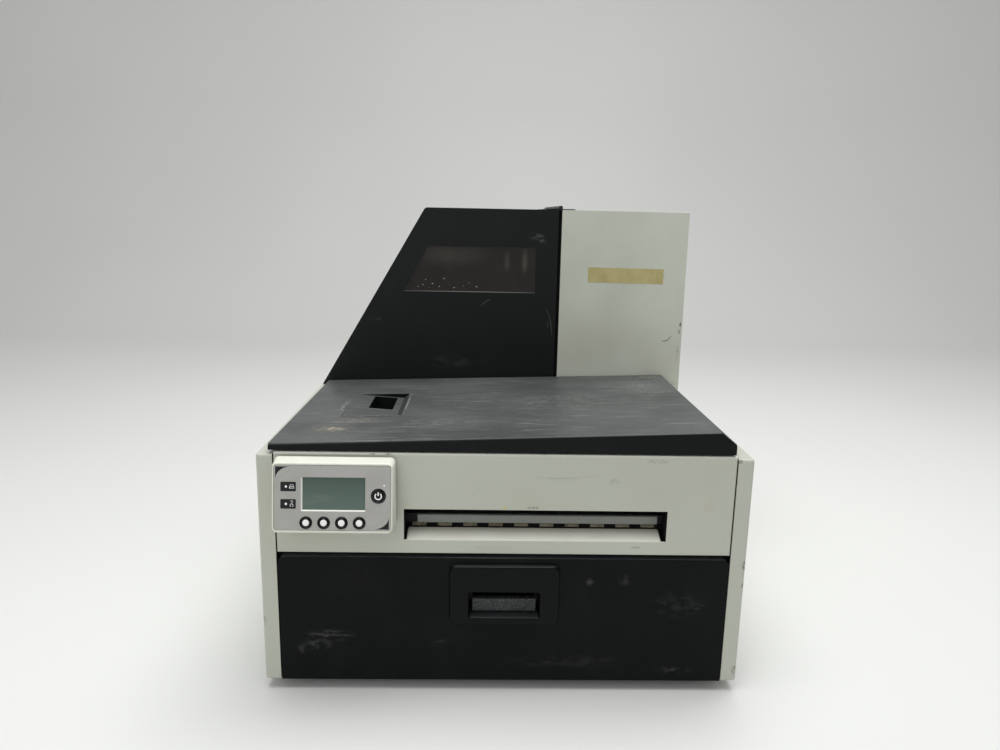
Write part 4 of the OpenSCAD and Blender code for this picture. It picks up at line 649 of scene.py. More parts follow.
# %% Lid, tower cover and housing
TOWER_FRONT, TOWER_TOP = 277, 433.5
TAN_DUST = screen(150, 140, 122)
PALE_DUST = screen(150, 151, 147)
# The lid's top, which faces up, is lightened: painted sheen over lying dust.
lid_finish = black_shell("lid_shell", screen(9, 12, 13), 0.42, 0.04, gloss=0.16, smears_on_front=False,
                         upward_dust_and_highlight=(screen(108, 112, 111), screen(140, 142, 139)), smears=(
    (at(-162, 46, 225), 0.022, (1.4, 0.9, 2), TAN_DUST, 0.5, (1.6, 1.6, 1)),
    (at(-160, 47, 225), 0.012, (1.4, 0.7, 2), screen(176, 168, 148), 0.6, (2.2, 2.2, 1)),
    (at(-140, 76, 225), 0.030, (1.5, 0.5, 2), TAN_DUST, 0.5, (1.2, 3.0, 1)),
    (at(-100, 40, 225), 0.040, (1.5, 0.5, 2), screen(120, 121, 118), 0.4, (0.4, 2.6, 1)),
    (at(-128, 98, 225), 0.024, (1.5, 0.35, 2), PALE_DUST, 0.5, (1.2, 0.5, 1)),
    (at(-166, 140, 225), 0.012, (0.4, 3.5, 2), PALE_DUST, 0.5, (2, 0.6, 1)),
    (at(-60, 60, 225), 0.050, (1.6, 0.6, 2), PALE_DUST, 0.2, (0.8, 2.2, 1)),
    (at(60, 130, 225), 0.070, (1.2, 0.8, 2), PALE_DUST, 0.2, (0.8, 2.2, 1)),
    (at(160, 200, 232), 0.050, (0.6, 1.2, 2), PALE_DUST, 0.25, (2.2, 0.8, 1)),
    (at(182, 262, 236), 0.018, (1.6, 0.5, 2), TAN_DUST, 0.7, (1, 1, 1))))
# The cover's rounded top edge, which faces up, is lightened: a painted highlight with a little dust.
cover_finish = black_shell("cover_shell", screen(15, 19, 20), 0.42, 0.04, gloss=0.2,
                           upward_dust_and_highlight=(screen(112, 114, 113), screen(130, 132, 130)), smears=(
    (at(40, TOWER_FRONT, 402), 0.010, (1.3, 0.06, 0.6), screen(84, 86, 86), 0.7, (0.6, 1, 1.5)),
    (at(46, TOWER_FRONT, 396), 0.006, (1.0, 0.06, 0.8), screen(104, 106, 106), 0.6, (1, 1, 1)),
    (at(56, TOWER_FRONT, 300), 0.008, (0.2, 0.06, 2.4), screen(70, 74, 74), 0.6, (1, 1, 0.4)),
    (at(-150, TOWER_FRONT, 300), 0.010, (1.2, 0.06, 0.4), screen(58, 62, 62), 0.6, (0.5, 1, 1)),
    (at(-60, TOWER_FRONT, 250), 0.028, (2.2, 0.06, 0.4), screen(44, 48, 48), 0.6, (0.3, 1, 1))))
HINGE_FOOT = 433.6
housing_paint = white_paint("tower_paint", tone=screen(194, 198, 185),
                            blackened_above=at(0, 0, HINGE_FOOT).z, marks=(
    (at(217.5, TOWER_FRONT, 300), 0.003, (0.7, 4, 1.2), CHIP, 0.9),
    (at(216.5, TOWER_FRONT, 291), 0.0022, (0.7, 4, 1.4), CHIP, 0.85),
    (at(216, TOWER_FRONT, 268), 0.0045, (0.35, 4, 1.6), PALE_DUST, 0.9),
    (at(216, TOWER_FRONT, 258), 0.003, (0.4, 4, 1.6), PALE_DUST, 0.9),
    (at(196, TOWER_FRONT, 226), 0.010, (2.4, 4, 0.35), screen(140, 132, 112), 0.7)))
rounded_copy("top_lid", [(2.8, both(on_plane("y", 0.5), above(224)), 4), (1.4, None, 3)], lid_finish)
top_front, top_rear = (both(on_plane("y", y), on_plane("z", TOWER_TOP)) for y in (TOWER_FRONT, DEPTH))
rounded_copy("tower_cover", [(3.2, either(top_front, top_rear), 4), (0.35, None, 2)], cover_finish)
right_folds = [both(on_plane("x", HALF_WIDTH), on_plane(axis, value))
               for axis, value in (("y", TOWER_FRONT), ("y", DEPTH), ("z", TOWER_TOP))]
rounded_copy("tower_housing", [(2.2, either(top_front, *right_folds), 4), (0.35, None, 2)], housing_paint)

# %% [markdown]
# The control panel leans back by about nine degrees, so everything on it is drawn on a sheet of its
# own: u to the right, v up the slope and w out of it, in millimetres from the middle of the face.
# Sines and cosines in every formula would do the same, but one matrix that carries the sheet to its
# place on the case keeps the drawing flat and simple.

# %% The sheet of the control face
PANEL_X, PANEL_Y, PANEL_Z = -150, -20, 186.5
FACE_TILT = math.atan2(10, 62)
face_sheet = (Matrix.Translation(at(PANEL_X, PANEL_Y, PANEL_Z))
              @ Matrix.Rotation(math.pi / 2 - FACE_TILT, 4, "X")
              @ Matrix.Scale(0.001, 4))


def rounded_outline(width, height, radius, steps=8, middle=(0, 0)):
    points = []
    for corner, (sx, sy) in enumerate(((1, 1), (-1, 1), (-1, -1), (1, -1))):
        for k in range(steps + 1):
            turn = math.pi / 2 * (corner + k / steps)
            points.append((middle[0] + sx * (width / 2 - radius) + radius * math.cos(turn),
                           middle[1] + sy * (height / 2 - radius) + radius * math.sin(turn)))
    return points


def circle_outline(radius, steps=40, middle=(0, 0)):
    return [(middle[0] + radius * math.cos(2 * math.pi * k / steps),
             middle[1] + radius * math.sin(2 * math.pi * k / steps)) for k in range(steps)]


print("the panel leans back by", round(math.degrees(FACE_TILT), 1), "degrees")

# %% [markdown]
# Many parts of the panel are stacks of rings: the shell narrows towards its front, a key swells into
# a dome, a print is a thin prism. Cut and bevelled boxes would need other steps for each. A loft joins
# rings with the same number of points into one skin and can close its first and last ring with a
# face, so one short function serves them all.

# %% Lofts and prisms
def loft(rings, closed=True):
    shape = bmesh.new()
    rows = [[shape.verts.new(p) for p in ring] for ring in rings]
    count = len(rows[0])
    for low, high in zip(rows, rows[1:]):
        for k in range(count):
            n = (k + 1) % count
            shape.faces.new((low[k], low[n], high[n], high[k]))
    if closed:
        shape.faces.new(list(reversed(rows[0])))
        shape.faces.new(rows[-1])
    return shape


def on_sheet(outline, w):
    return [face_sheet @ Vector((u, v, w)) for u, v in outline]


def printed(name, outline, material, low, high):
    shape = loft([on_sheet(outline, low), on_sheet(outline, high)])
    return finish_piece(shape, name, "root", material)


print("points in a round outline:", len(circle_outline(1)))
print("points in a rounded rectangle:", len(rounded_outline(4, 4, 1)))

# %% [markdown]
# The panel's shell is moulded in two halves. The front half is ivory with a soft front edge and a
# shallow seat for the overlay film. The rear half is black with tighter corners, and it peeks out as
# a dark sliver at the lower corners. A bevelled box would have one radius all over. Both halves are
# lofts instead, from an upright ring on the case to a leaning one, each ring with its own corners.

# %% Control panel shell
def upright(outline, y):
    return [at(PANEL_X + u, y, PANEL_Z + v) for u, v in outline]


def panel_ring(width, height, radius, w):
    return on_sheet(rounded_outline(width, height, radius), w)


shell_rings = [upright(rounded_outline(105.2, 63.2, 4.6), -3.2),
               panel_ring(104, 62, 4.8, -3.4), panel_ring(103.7, 61.7, 4.7, -1.9),
               panel_ring(102.9, 60.9, 4.4, -0.8), panel_ring(101.8, 59.8, 3.9, -0.2),
               panel_ring(100.6, 58.6, 3.3, 0.0), panel_ring(100.3, 57.1, 2.4, -0.06),
               panel_ring(100.1, 56.7, 2.2, -0.3), panel_ring(100.1, 56.6, 2.2, -1.2),
               panel_ring(98, 54.5, 2.0, -1.25), panel_ring(97.6, 54.1, 2.0, -3.3)]
ivory_shell = finish_piece(loft(shell_rings), "control_shell", "root",
                           finishes["panel_ivory"], replaced=["control_housing"])
rear_rings = [upright(rounded_outline(98, 56, 4.2), 0.0), upright(rounded_outline(100, 58, 4.6), -3.2),
              panel_ring(101, 59, 4.6, -6.0), panel_ring(101, 59, 4.6, -4.4)]
finish_piece(loft(rear_rings), "control_rear_shell", "root", finishes["fan_black"],
             replaced=["control_back"])
print("control shell faces:", len(ivory_shell.data.polygons))

# %% [markdown]
# A thin grey film covers the face. It has a window for the display and round holes for the keys. A
# film with holes is easiest as one flat face that is cut by closed outlines: Blender's triangle fill
# takes the outer outline and the holes together, and a short extrusion gives the film its thickness.

# %% Overlay film
DISPLAY = {"middle": (0.7, 3.1), "width": 55.2, "height": 29.4}
MENU_KEYS = [(-22.4 + 15.2 * i, -21.5) for i in range(4)]
POWER_KEY = (39.4, 2.1)


def film(name, outline, holes, low, high, material, slot):
    shape = bmesh.new()
    edges = []
    for ring in [outline] + holes:
        verts = [shape.verts.new(p) for p in on_sheet(ring, high)]
        edges += [shape.edges.new((verts[k], verts[(k + 1) % len(verts)])) for k in range(len(verts))]
    bmesh.ops.triangle_fill(shape, use_beauty=True, edges=edges)
    top = shape.faces[:]
    grown = bmesh.ops.extrude_face_region(shape, geom=top)
    moved = [g for g in grown["geom"] if isinstance(g, bmesh.types.BMVert)]
    inward = (face_sheet @ Vector((0, 0, low))) - (face_sheet @ Vector((0, 0, high)))
    bmesh.ops.translate(shape, verts=moved, vec=inward)
    return finish_piece(shape, name, "root", material)


film_holes = [rounded_outline(DISPLAY["width"], DISPLAY["height"], 0.5, 3, DISPLAY["middle"])]
film_holes += [circle_outline(4.75, 40, place) for place in MENU_KEYS] + [circle_outline(5.5, 40, POWER_KEY)]
film_finish = Finish("overlay_print_film", 0.48)
speckle = film_finish.ramp(film_finish.noise(2600, 1), 0.35, 0.7)
soil = film_finish.ramp(film_finish.noise(45, 4), 0.4, 0.8, to=0.5)
film_colour = film_finish.mix(speckle, screen(170, 169, 165), screen(158, 157, 153))
film_finish.colour(film_finish.mix(soil, film_colour, screen(150, 148, 141)))
film_finish.bump(film_finish.noise(2600, 1), depth=0.00001, strength=0.2)
overlay = film("overlay_film", rounded_outline(99.4, 55.8, 2.0), film_holes, -0.6, -0.12,
               film_finish.material, "overlay_grey")
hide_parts("control_overlay")
print("overlay film, holes:", len(film_holes), "faces:", len(overlay.data.polygons))

# %% [markdown]
# The display sits behind the film in a sloping frame. Light from the ceiling catches the lower and
# left slopes, which is the white line seen there, and leaves the upper slope in shadow. A bevelled
# hole would slope alike on all sides, so a loft leads from the window to a ring that is set off to
# one side. The glass is the plain grey green of a display without backlight.

# %% Display
window_ring = rounded_outline(DISPLAY["width"] + 0.2, DISPLAY["height"] + 0.2, 0.5, 3, DISPLAY["middle"])
GLASS = {"middle": (DISPLAY["middle"][0] + 0.5, DISPLAY["middle"][1] + 0.45), "width": 53.8, "height": 28.2}
glass_ring = rounded_outline(GLASS["width"], GLASS["height"], 0.4, 3, GLASS["middle"])
frame_finish = moulded("display_frame_white", screen(226, 228, 218), 0.4)
frame_rings = [on_sheet(window_ring, -1.5), on_sheet(window_ring, -0.35),
               on_sheet(glass_ring, -1.35), on_sheet(glass_ring, -1.6)]
finish_piece(loft(frame_rings), "display_frame", "root", frame_finish)
glass = Finish("display_glass", 0.16)
shade = glass.ramp(glass.axis("Z"), at(0, 0, 172).z, at(0, 0, 204).z)
glass_colour = glass.mix(shade, screen(88, 106, 98), screen(74, 91, 84))
streak = glass.ramp(glass.noise(90, 3, stretch=(0.25, 1, 1)), 0.55, 0.8, to=0.18)
glass.colour(glass.mix(streak, glass_colour, screen(150, 160, 152)))
glass.bump(glass.noise(500, 2), depth=0.000005, strength=0.1)
display = printed("display_panel", rounded_outline(GLASS["width"] - 0.2, GLASS["height"] - 0.2, 0.4, 3,
                  GLASS["middle"]), glass.material, low=-1.8, high=-1.33)
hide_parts("lcd_window")
print("display glass, mm:", GLASS["width"], "by", GLASS["height"])

# %% [markdown]
# Each key is a glossy black cap in a black collar, with a round white lens in its middle. A stack of
# cylinders would lack the dome, so the cap is turned as on a lathe: a profile of radius and height,
# swept round. A shallow groove runs round the lens, and its far wall mirrors the ceiling as the thin
# bright arc above each lens. The power key is wider, and its collar is the same one made larger.

# %% Keys
def turned(profile, middle, steps=40):
    return [[face_sheet @ Vector((middle[0] + r * math.cos(2 * math.pi * k / steps),
                                  middle[1] + r * math.sin(2 * math.pi * k / steps), w))
             for k in range(steps)] for r, w in profile]


white_lens = moulded("white_key_lens", screen(240, 241, 238), 0.3)
key_black = finishes["button_black"]
COLLAR = [(4.75, -0.7), (5.5, -0.13), (5.45, 0.22), (5.1, 0.34), (4.72, 0.2), (4.72, -0.7)]
CAP = [(4.3, -1.9), (4.4, 0.1), (4.3, 0.62), (3.9, 0.95), (3.45, 0.82), (3.2, 0.42), (2.85, 0.42)]
LENS = [(2.9, 0.1), (2.9, 0.5), (2.6, 0.85), (1.9, 1.0), (1.0, 1.0)]
for i, place in enumerate(MENU_KEYS, start=1):
    body = "menu_%d" % i
    collar = turned(COLLAR, place)
    finish_piece(loft(collar + collar[:1], closed=False), "key_collar_%d" % i, "root",
                 key_black)
    finish_piece(loft(turned(CAP, place)), "menu_key_cap_%d" % i, body, key_black,
                 replaced=["menu_button_%d" % i])
    finish_piece(loft(turned(LENS, place)), "menu_key_lens_%d" % i, body, white_lens)

POWER_SCALE = 5.2 / 4.4
power_collar = turned([(r * POWER_SCALE, w) for r, w in COLLAR], POWER_KEY)
finish_piece(loft(power_collar + power_collar[:1], closed=False), "power_key_collar", "root",
             key_black)
POWER_CAP = [(5.0, -1.9), (5.15, 0.1), (5.05, 0.6), (4.6, 0.95), (4.0, 1.0), (3.0, 0.92), (1.0, 0.86)]
finish_piece(loft(turned(POWER_CAP, POWER_KEY)), "power_key_cap", "power_key", key_black,
             replaced=["power_button"])
print("keys:", len(MENU_KEYS) + 1)

# %% [markdown]
# The sign on the power key is the usual one, a ring that is open at the top and a bar in the gap. A
# texture would blur at this size. So it and the other prints are thin strips along a path, a few
# hundredths of a millimetre above the film or let into it.

# %% Strips along a path
def strip_outline(path, width):
    left, right = [], []
    for k, (u, v) in enumerate(path):
        a, b = path[max(k - 1, 0)], path[min(k + 1, len(path) - 1)]
        du, dv = b[0] - a[0], b[1] - a[1]
        size = math.hypot(du, dv) or 1.0
        left.append((u - dv / size * width / 2, v + du / size * width / 2))
        right.append((u + dv / size * width / 2, v - du / size * width / 2))
    return right + left[::-1]


def strip(name, path, width, material, low, high, body="root"):
    outline = strip_outline(path, width)
    pairs = [(outline[k], outline[-1 - k]) for k in range(len(outline) // 2)]
    rings = [[face_sheet @ Vector((*place, w)) for place, w in ((a, low), (b, low), (b, high), (a, high))]
             for a, b in pairs]
    return finish_piece(loft(rings), name, body, material)


def arc_path(middle, ru, rv, first, last, steps=24):
    return [(middle[0] + ru * math.cos(math.radians(first + (last - first) * k / steps)),
             middle[1] + rv * math.sin(math.radians(first + (last - first) * k / steps)))
            for k in range(steps + 1)]


print("outline points of a strip over five places:", len(strip_outline([(k, 0) for k in range(5)], 1)))

# %% [markdown]
# Beside the power sign there are two dark lamp fields, each with a dot and a plain small sign, one more
# lamp above the power key, and two corners that are filled dark with a thin line round them. An image
# could hold them all, but as strips and prisms they stay crisp however close the camera comes.

# %% Prints on the panel
print_white = moulded("print_white", screen(236, 238, 236), 0.5)
print_black = moulded("print_black", screen(20, 23, 25), 0.42, gloss=0.3)
print_line = moulded("print_line_grey", screen(150, 150, 147), 0.5)
strip("power_sign_ring", arc_path(POWER_KEY, 2.7, 2.7, 128, 412), 1.05, print_white, 0.8, 1.06, "power_key")
strip("power_sign_bar", [(POWER_KEY[0], POWER_KEY[1] + 0.4), (POWER_KEY[0], POWER_KEY[1] + 3.5)], 1.05,
      print_white, 0.8, 1.07, "power_key")
for name, v in (("upper", 9.6), ("lower", -5.4)):
    printed("lamp_field_" + name, rounded_outline(13.2, 8.2, 0.7, 3, (-37.5, v)), print_black,
            low=-0.3, high=-0.07)
    printed("lamp_dot_" + name, circle_outline(1.0, 24, (-39.4, v)), white_lens,
            low=-0.2, high=0.05)
printed("power_lamp", circle_outline(0.75, 24, (44.3, 11.2)), white_lens, low=-0.3, high=0.05)
SHEET_SIGN = [(-36.6, 8.2), (-35.6, 11.2), (-33.4, 11.2), (-32.4, 8.2), (-36.6, 8.2)]
strip("sheet_sign", SHEET_SIGN, 0.4, print_white, -0.2, -0.02)
strip("sheet_sign_edge", [(-36.0, 9.4), (-33.0, 9.4)], 0.4, print_white, -0.2, -0.03)
strip("drop_sign", arc_path((-34.5, -6.6), 1.25, 1.25, -60, 240), 0.4, print_white, -0.2, -0.02)
strip("drop_sign_top", [(-35.6, -2.8), (-33.4, -2.8), (-34.5, -4.9)], 0.4, print_white, -0.2, -0.03)


def corner_print(name, corner, leg_u, leg_v):
    middle = (corner[0] - leg_u, corner[1] - leg_v)
    turns = [math.pi / 2 * k / 14 for k in range(15)]
    curve = [(middle[0] + leg_u * math.cos(turn), middle[1] + leg_v * math.sin(turn)) for turn in turns]
    outline = [corner] + curve[::-1]
    if leg_u * leg_v < 0:
        outline.reverse()
    printed(name, outline, print_black, low=-0.3, high=-0.07)


corner_print("corner_print_upper", (-48.6, 26.8), -13.4, 11.0)
corner_print("corner_print_lower", (48.6, -26.8), 13.4, -11.0)
strip("corner_line_upper", arc_path((-27.0, 7.4), 21.0, 18.6, 176, 96), 0.35, print_line, -0.3, -0.08)
strip("corner_line_lower", arc_path((27.0, -7.4), 21.0, 18.6, -4, -84), 0.35, print_line, -0.3, -0.08)
print("keys and prints placed on the control face")

# %% [markdown]
# The label leaves through the slot in the front panel. Behind the slot lie a steel ramp, a grey bar
# over it and the exit roller, whose tan rubber tyres sit on a black core. The ends of the slot are
# dark with shade, since nothing closes them, and black sheets stand there as painted shade. Boxes would
# miss the bend of the ramp. All of these are bars along X, so one function sweeps an outline in Y and Z
# from one end to the other, with each end drawn in a little where a sheet has rounded corners.

# %% Exit slot
def bar_along_x(name, stations, material, replaced=()):
    rings = [[at(x, y, z) for y, z in outline] for x, outline in stations]
    return finish_piece(loft(rings), name, "root", material, replaced=replaced)


RAMP = [(1.7, 138.2), (1.7, 139.6), (2.2, 140.2), (9, 143.1), (15.4, 145.5), (16.6, 145.6), (18.6, 144.4),
        (18.6, 142.8), (9, 141.0)]
RAMP_STATIONS = [(x, [(y, z - drop) for y, z in RAMP]) for x, drop in
                 ((-89.2, 1.6), (-88.6, 0.5), (-87.4, 0), (139.6, 0), (140.8, 0.5), (141.4, 1.6))]
# The ramp's tones are brighter than the case paint, a painted highlight for the light on its upward face;
# towards the back it darkens as painted shade under the bar.
ramp_paint = Finish("ramp_paint", 0.4)
ramp_shade = ramp_paint.ramp(ramp_paint.axis("Y"), at(0, 8, 0).y, at(0, 16, 0).y, to=0.55)
ramp_wear = ramp_paint.ramp(ramp_paint.noise(60, 3, stretch=(0.5, 1, 1)), 0.3, 0.7, to=0.5)
ramp_tone_painted_bright = ramp_paint.mix(ramp_wear, screen(232, 233, 222), screen(220, 220, 208))
ramp_paint.colour(ramp_paint.mix(ramp_shade, ramp_tone_painted_bright, screen(158, 148, 132)))
ramp_paint.bump(ramp_paint.noise(1100, 2), depth=0.00003, strength=0.3)
bar_along_x("exit_ramp", RAMP_STATIONS, ramp_paint.material, replaced=["exit_guide"])
EXIT_BAR = [(15.2, 150.9), (15.2, 157.6), (15.8, 158.3), (19, 158.3), (19, 150.9), (18.4, 150.3),
            (15.8, 150.3)]
bar_grey = moulded("exit_bar_grey", screen(122, 125, 119), 0.42)
bar_along_x("exit_bar", [(-80, EXIT_BAR), (139.6, EXIT_BAR)], bar_grey)
# Black for the slot's parts, and for the sheets at its ends that stand in for shade.
black_and_slot_shade = moulded("slot_black", screen(14, 14, 15), 0.6, gloss=0.2)
SHADED_SLOT_END = [(0.5, 134), (0.5, 168.9), (19, 168.9), (19, 134)]
BLOCK = [(15.6, 151), (15.6, 159.4), (19, 159.4), (19, 151)]
SLOT_ENDS = [("slot_cheek_left", -91.9, -90.7, SHADED_SLOT_END), ("slot_cheek_right", 144.7, 145.9, SHADED_SLOT_END),
             ("bar_end_left", -90.6, -80.1, BLOCK), ("bar_end_right", 139.7, 144.6, BLOCK)]
for name, x0, x1, outline in SLOT_ENDS:
    bar_along_x(name, [(x0, outline), (x1, outline)], black_and_slot_shade)
print("exit slot: ramp, bar, cheeks and blocks made")

# %% [markdown]
# The tyres of the exit roller show in the slot as a row of tan dashes. Each could be a ring of its own,
# but only a few millimetres of them can be seen, so the finish paints them along X: the distance is
# divided by the pitch, and its fraction says whether a point is on a tyre or on the black core. A thin
# comb in front of the roller hides its lower part, and small black wheels ride above it.

# %% Exit roller
TYRE_PITCH = 23.6
TYRE_SHARE = 13 / TYRE_PITCH
roller_finish = Finish("exit_roller_rubber", 0.75)
from_end = roller_finish.math("ADD", roller_finish.axis("X"), mm(91.0))
fraction = roller_finish.math("FRACT", roller_finish.math("DIVIDE", from_end, mm(TYRE_PITCH)))
from_middle = roller_finish.math("ABSOLUTE", roller_finish.math("SUBTRACT", fraction, 0.5))
on_tyre = roller_finish.ramp(from_middle, TYRE_SHARE / 2 + 0.01, TYRE_SHARE / 2 - 0.01)
grime = roller_finish.ramp(roller_finish.noise(180, 3), 0.35, 0.7)
tyre_tone = roller_finish.mix(grime, screen(206, 196, 166), screen(160, 152, 128))
roller_finish.colour(roller_finish.mix(on_tyre, screen(20, 20, 21), tyre_tone))
roller_finish.bump(roller_finish.noise(900, 2), depth=0.00004, strength=0.3)
COMB = [(19.4, 142), (19.4, 145.0), (20.0, 145.5), (20.8, 145.0), (20.8, 142)]
bar_along_x("exit_comb", [(-90.5, COMB), (144.5, COMB)], black_and_slot_shade)
rounded_copy("exit_roller", [(0.5, None, 2)], roller_finish.material)
rounded_copy("exit_wheels", [(0.25, None, 1)], black_and_slot_shade)
print("a tyre takes this share of the pitch:", round(TYRE_SHARE, 2))

# %% [markdown]
# The latch sits in a raised bezel on the ink door. The bezel is moulded, so all its edges are soft, and
# its top edge shows as a light line, a painted highlight on what faces up. A box with a hole would need
# many bevels. One loft runs from the back over the rim and down into the pocket, so that face, rounds
# and pocket walls are one skin. The paddle is dusty, because fingers pull it from below and never wipe
# its face.

# %% Latch
# The bezel's top edge, which faces up, is lightened: a painted highlight with a little dust.
bezel_finish = black_shell("bezel_shell", screen(5, 7, 8), 0.28, 0.02, gloss=0.12,
                           upward_dust_and_highlight=(screen(66, 70, 71), screen(80, 83, 83)))


def door_ring(width, height, radius, y, z):
    return [at(u, y, z + v) for u, v in rounded_outline(width, height, radius)]


BEZEL_MIDDLE, POCKET_MIDDLE = 88.25, 79
bezel_rings = [door_ring(70, 30, 1.5, 15, POCKET_MIDDLE), door_ring(70, 30, 1.5, 0.0, POCKET_MIDDLE)]
bezel_rings += [door_ring(100 - cut, 57.5 - cut, 6.5 - cut * 0.4, y, BEZEL_MIDDLE)
                for cut, y in ((0.4, 0.0), (0.0, -1.4), (0.6, -3.0), (2.0, -4.3), (4.6, -5.0))]
bezel_rings += [door_ring(64 + wide, 24 + wide, 1.8 + wide * 0.8, y, POCKET_MIDDLE)
                for wide, y in ((4.0, -5.0), (2.0, -4.7), (0.7, -3.9), (0.0, -2.6), (0.0, 13.0))]
bezel = finish_piece(loft(bezel_rings), "latch_bezel_shell", "door", bezel_finish,
                     replaced=["latch_bezel"])
paddle_finish = Finish("paddle_shell", 0.5)
paddle_finish.shader.inputs["Specular IOR Level"].default_value = 0.3
specks = paddle_finish.ramp(paddle_finish.noise(900, 2), 0.52, 0.66, to=0.55)
patch = paddle_finish.ramp(paddle_finish.noise(70, 3, shift=2.0), 0.3, 0.7, to=0.5)
paddle_tone = paddle_finish.mix(patch, screen(34, 38, 39), screen(66, 70, 71))
paddle_finish.colour(paddle_finish.mix(specks, paddle_tone, screen(112, 115, 115)))
paddle_finish.bump(paddle_finish.noise(1200, 2), depth=0.00005, strength=0.4)
paddle = rounded_copy("latch_paddle", [(0.8, None, 3)], paddle_finish.material)
print("latch faces:", len(bezel.data.polygons), len(paddle.data.polygons))

# %% [markdown]
# A strip of masking tape is stuck to the tower. Crepe paper never lies quite flat: its long edges
# lift in places, and fine wrinkles run across it. A thin box would look like a painted stripe. The
# strip is a grid of points whose height over the steel comes from a few waves, with a back face and a
# rim, so it is a closed sheet 0.12 mm thick.

# %% Masking tape
def tape_strip(name, x0, x1, z0, z1, y, columns=64, rows=10):
    shape = bmesh.new()
    layers = []
    for back in (False, True):
        sheet = []
        for r in range(rows + 1):
            v = r / rows
            for c in range(columns + 1):
                u = c / columns
                x = x0 + (x1 - x0) * u + 0.25 * math.sin(37 * v + 9 * v * v) * (1 if c in (0, columns) else 0)
                wave = 0.12 * math.sin(21 * u) + 0.1 * math.sin(53 * u)
                z = z0 + (z1 - z0) * v + wave * (2 * v - 1) - 0.8 * u
                ripple = 0.05 * math.sin(140 * u + 3 * v) * math.sin(9 * u) ** 2
                lift = 0.35 * max(0.0, math.sin(5.2 * u + 1.1)) ** 3 * v ** 4
                lift += 0.25 * math.exp(-((u - 0.55) / 0.02) ** 2)
                height = 0.03 if back else 0.15 + abs(ripple) + lift
                sheet.append(shape.verts.new(at(x, y - height, z)))
        layers.append(sheet)
    wide = columns + 1
    for sheet, turn in ((layers[0], False), (layers[1], True)):
        for r in range(rows):
            for c in range(columns):
                a, b = r * wide + c, (r + 1) * wide + c
                face = [sheet[a], sheet[a + 1], sheet[b + 1], sheet[b]]
                shape.faces.new(face[::-1] if turn else face)
    rim = list(range(wide)) + [r * wide + columns for r in range(1, rows + 1)]
    rim += [rows * wide + c for c in range(columns - 1, -1, -1)] + [r * wide for r in range(rows - 1, 0, -1)]
    for k, a in enumerate(rim):
        b = rim[(k + 1) % len(rim)]
        shape.faces.new([layers[0][b], layers[0][a], layers[1][a], layers[1][b]])
    return finish_piece(shape, name, "root", tape_finish.material)


tape_finish = Finish("masking_tape_paper", 0.55)
crepe = tape_finish.noise(420, 3, stretch=(1, 1, 0.15))
stain = tape_finish.ramp(tape_finish.noise(55, 4, shift=5.0), 0.35, 0.75, to=0.8)
tape_tone = tape_finish.mix(stain, screen(180, 170, 118), screen(162, 150, 98))
crease = tape_finish.ramp(crepe, 0.55, 0.7, to=0.2)
tape_finish.colour(tape_finish.mix(crease, tape_tone, screen(190, 182, 136)))
tape_finish.bump(crepe, depth=0.00012, strength=0.5)
tape = tape_strip("masking_tape", 102.2, 193.0, 349.4, 367.2, TOWER_FRONT)
print("tape points:", len(tape.data.vertices))

# %% [markdown]
# Scratches are cuts in the paint, too thin for a texture to draw cleanly at every distance. Each is a
# flat strip a few hundredths of a millimetre high along a curve that was measured from the picture,
# tapered to nothing at both ends.

# %% Scratches
def scratch(name, points, width, material, body="root", steps=5, normal=(0, -1, 0), height=0.03):
    path = []
    for k in range(len(points) - 1):
        before, a, b = points[max(k - 1, 0)], points[k], points[k + 1]
        after = points[min(k + 2, len(points) - 1)]
        for i in range(steps):
            t = i / steps
            path.append([0.5 * (2 * q + (r - p) * t + (2 * p - 5 * q + 4 * r - s) * t * t
                                + (3 * q - p - 3 * r + s) * t ** 3)
                         for p, q, r, s in zip(before, a, b, after)])
    path.append(points[-1])
    outward = Vector(normal)
    rings = []
    for k, place in enumerate(path):
        here = Vector(place)
        along_path = Vector(path[min(k + 1, len(path) - 1)]) - Vector(path[max(k - 1, 0)])
        side = along_path.cross(outward).normalized()
        half = width / 2 * (0.25 + 0.75 * math.sin(math.pi * k / (len(path) - 1)))
        rings.append([at(*(here + side * s * half + outward * w)) for s, w in
                      ((-1, -0.05), (1, -0.05), (1, height), (-1, height))])
    return finish_piece(loft(rings), name, body, material)


def on_tower(*places):
    return [(x, TOWER_FRONT, z) for x, z in places]


bare_steel = moulded("scratch_dark", screen(74, 76, 78), 0.5)
pale_cut = moulded("scratch_pale", screen(96, 99, 99), 0.6, gloss=0.2)
faint_cut = moulded("scratch_faint", screen(148, 149, 139), 0.5)
scratch("tower_scratch", on_tower((195.5, 279.8), (199.5, 279.4), (203.4, 281.2), (207.2, 286.4)), 1.0,
        bare_steel)
scratch("cover_scratch_long", on_tower((52, 318), (57, 309), (60, 296), (61.5, 281)), 0.35, pale_cut,
        "cover")
scratch("cover_scratch_short", on_tower((-26, 318), (-20, 324), (-13, 327)), 0.4, pale_cut,
        "cover")
scratch("front_scratch", [(20, 0, 201), (48, 0, 199.5), (84, 0, 203)], 0.3, faint_cut)
print("scratches placed")

# %% [markdown]
# The cover's window is a smoked sheet behind an opening. The cut edge of the opening is bright along
# the bottom, where dust and light collect, and a few white crumbs of paper lie behind it. Scattering
# would drop the crumbs anywhere, so each has the place that it has in the picture, as a flat prism of
# six uneven corners.

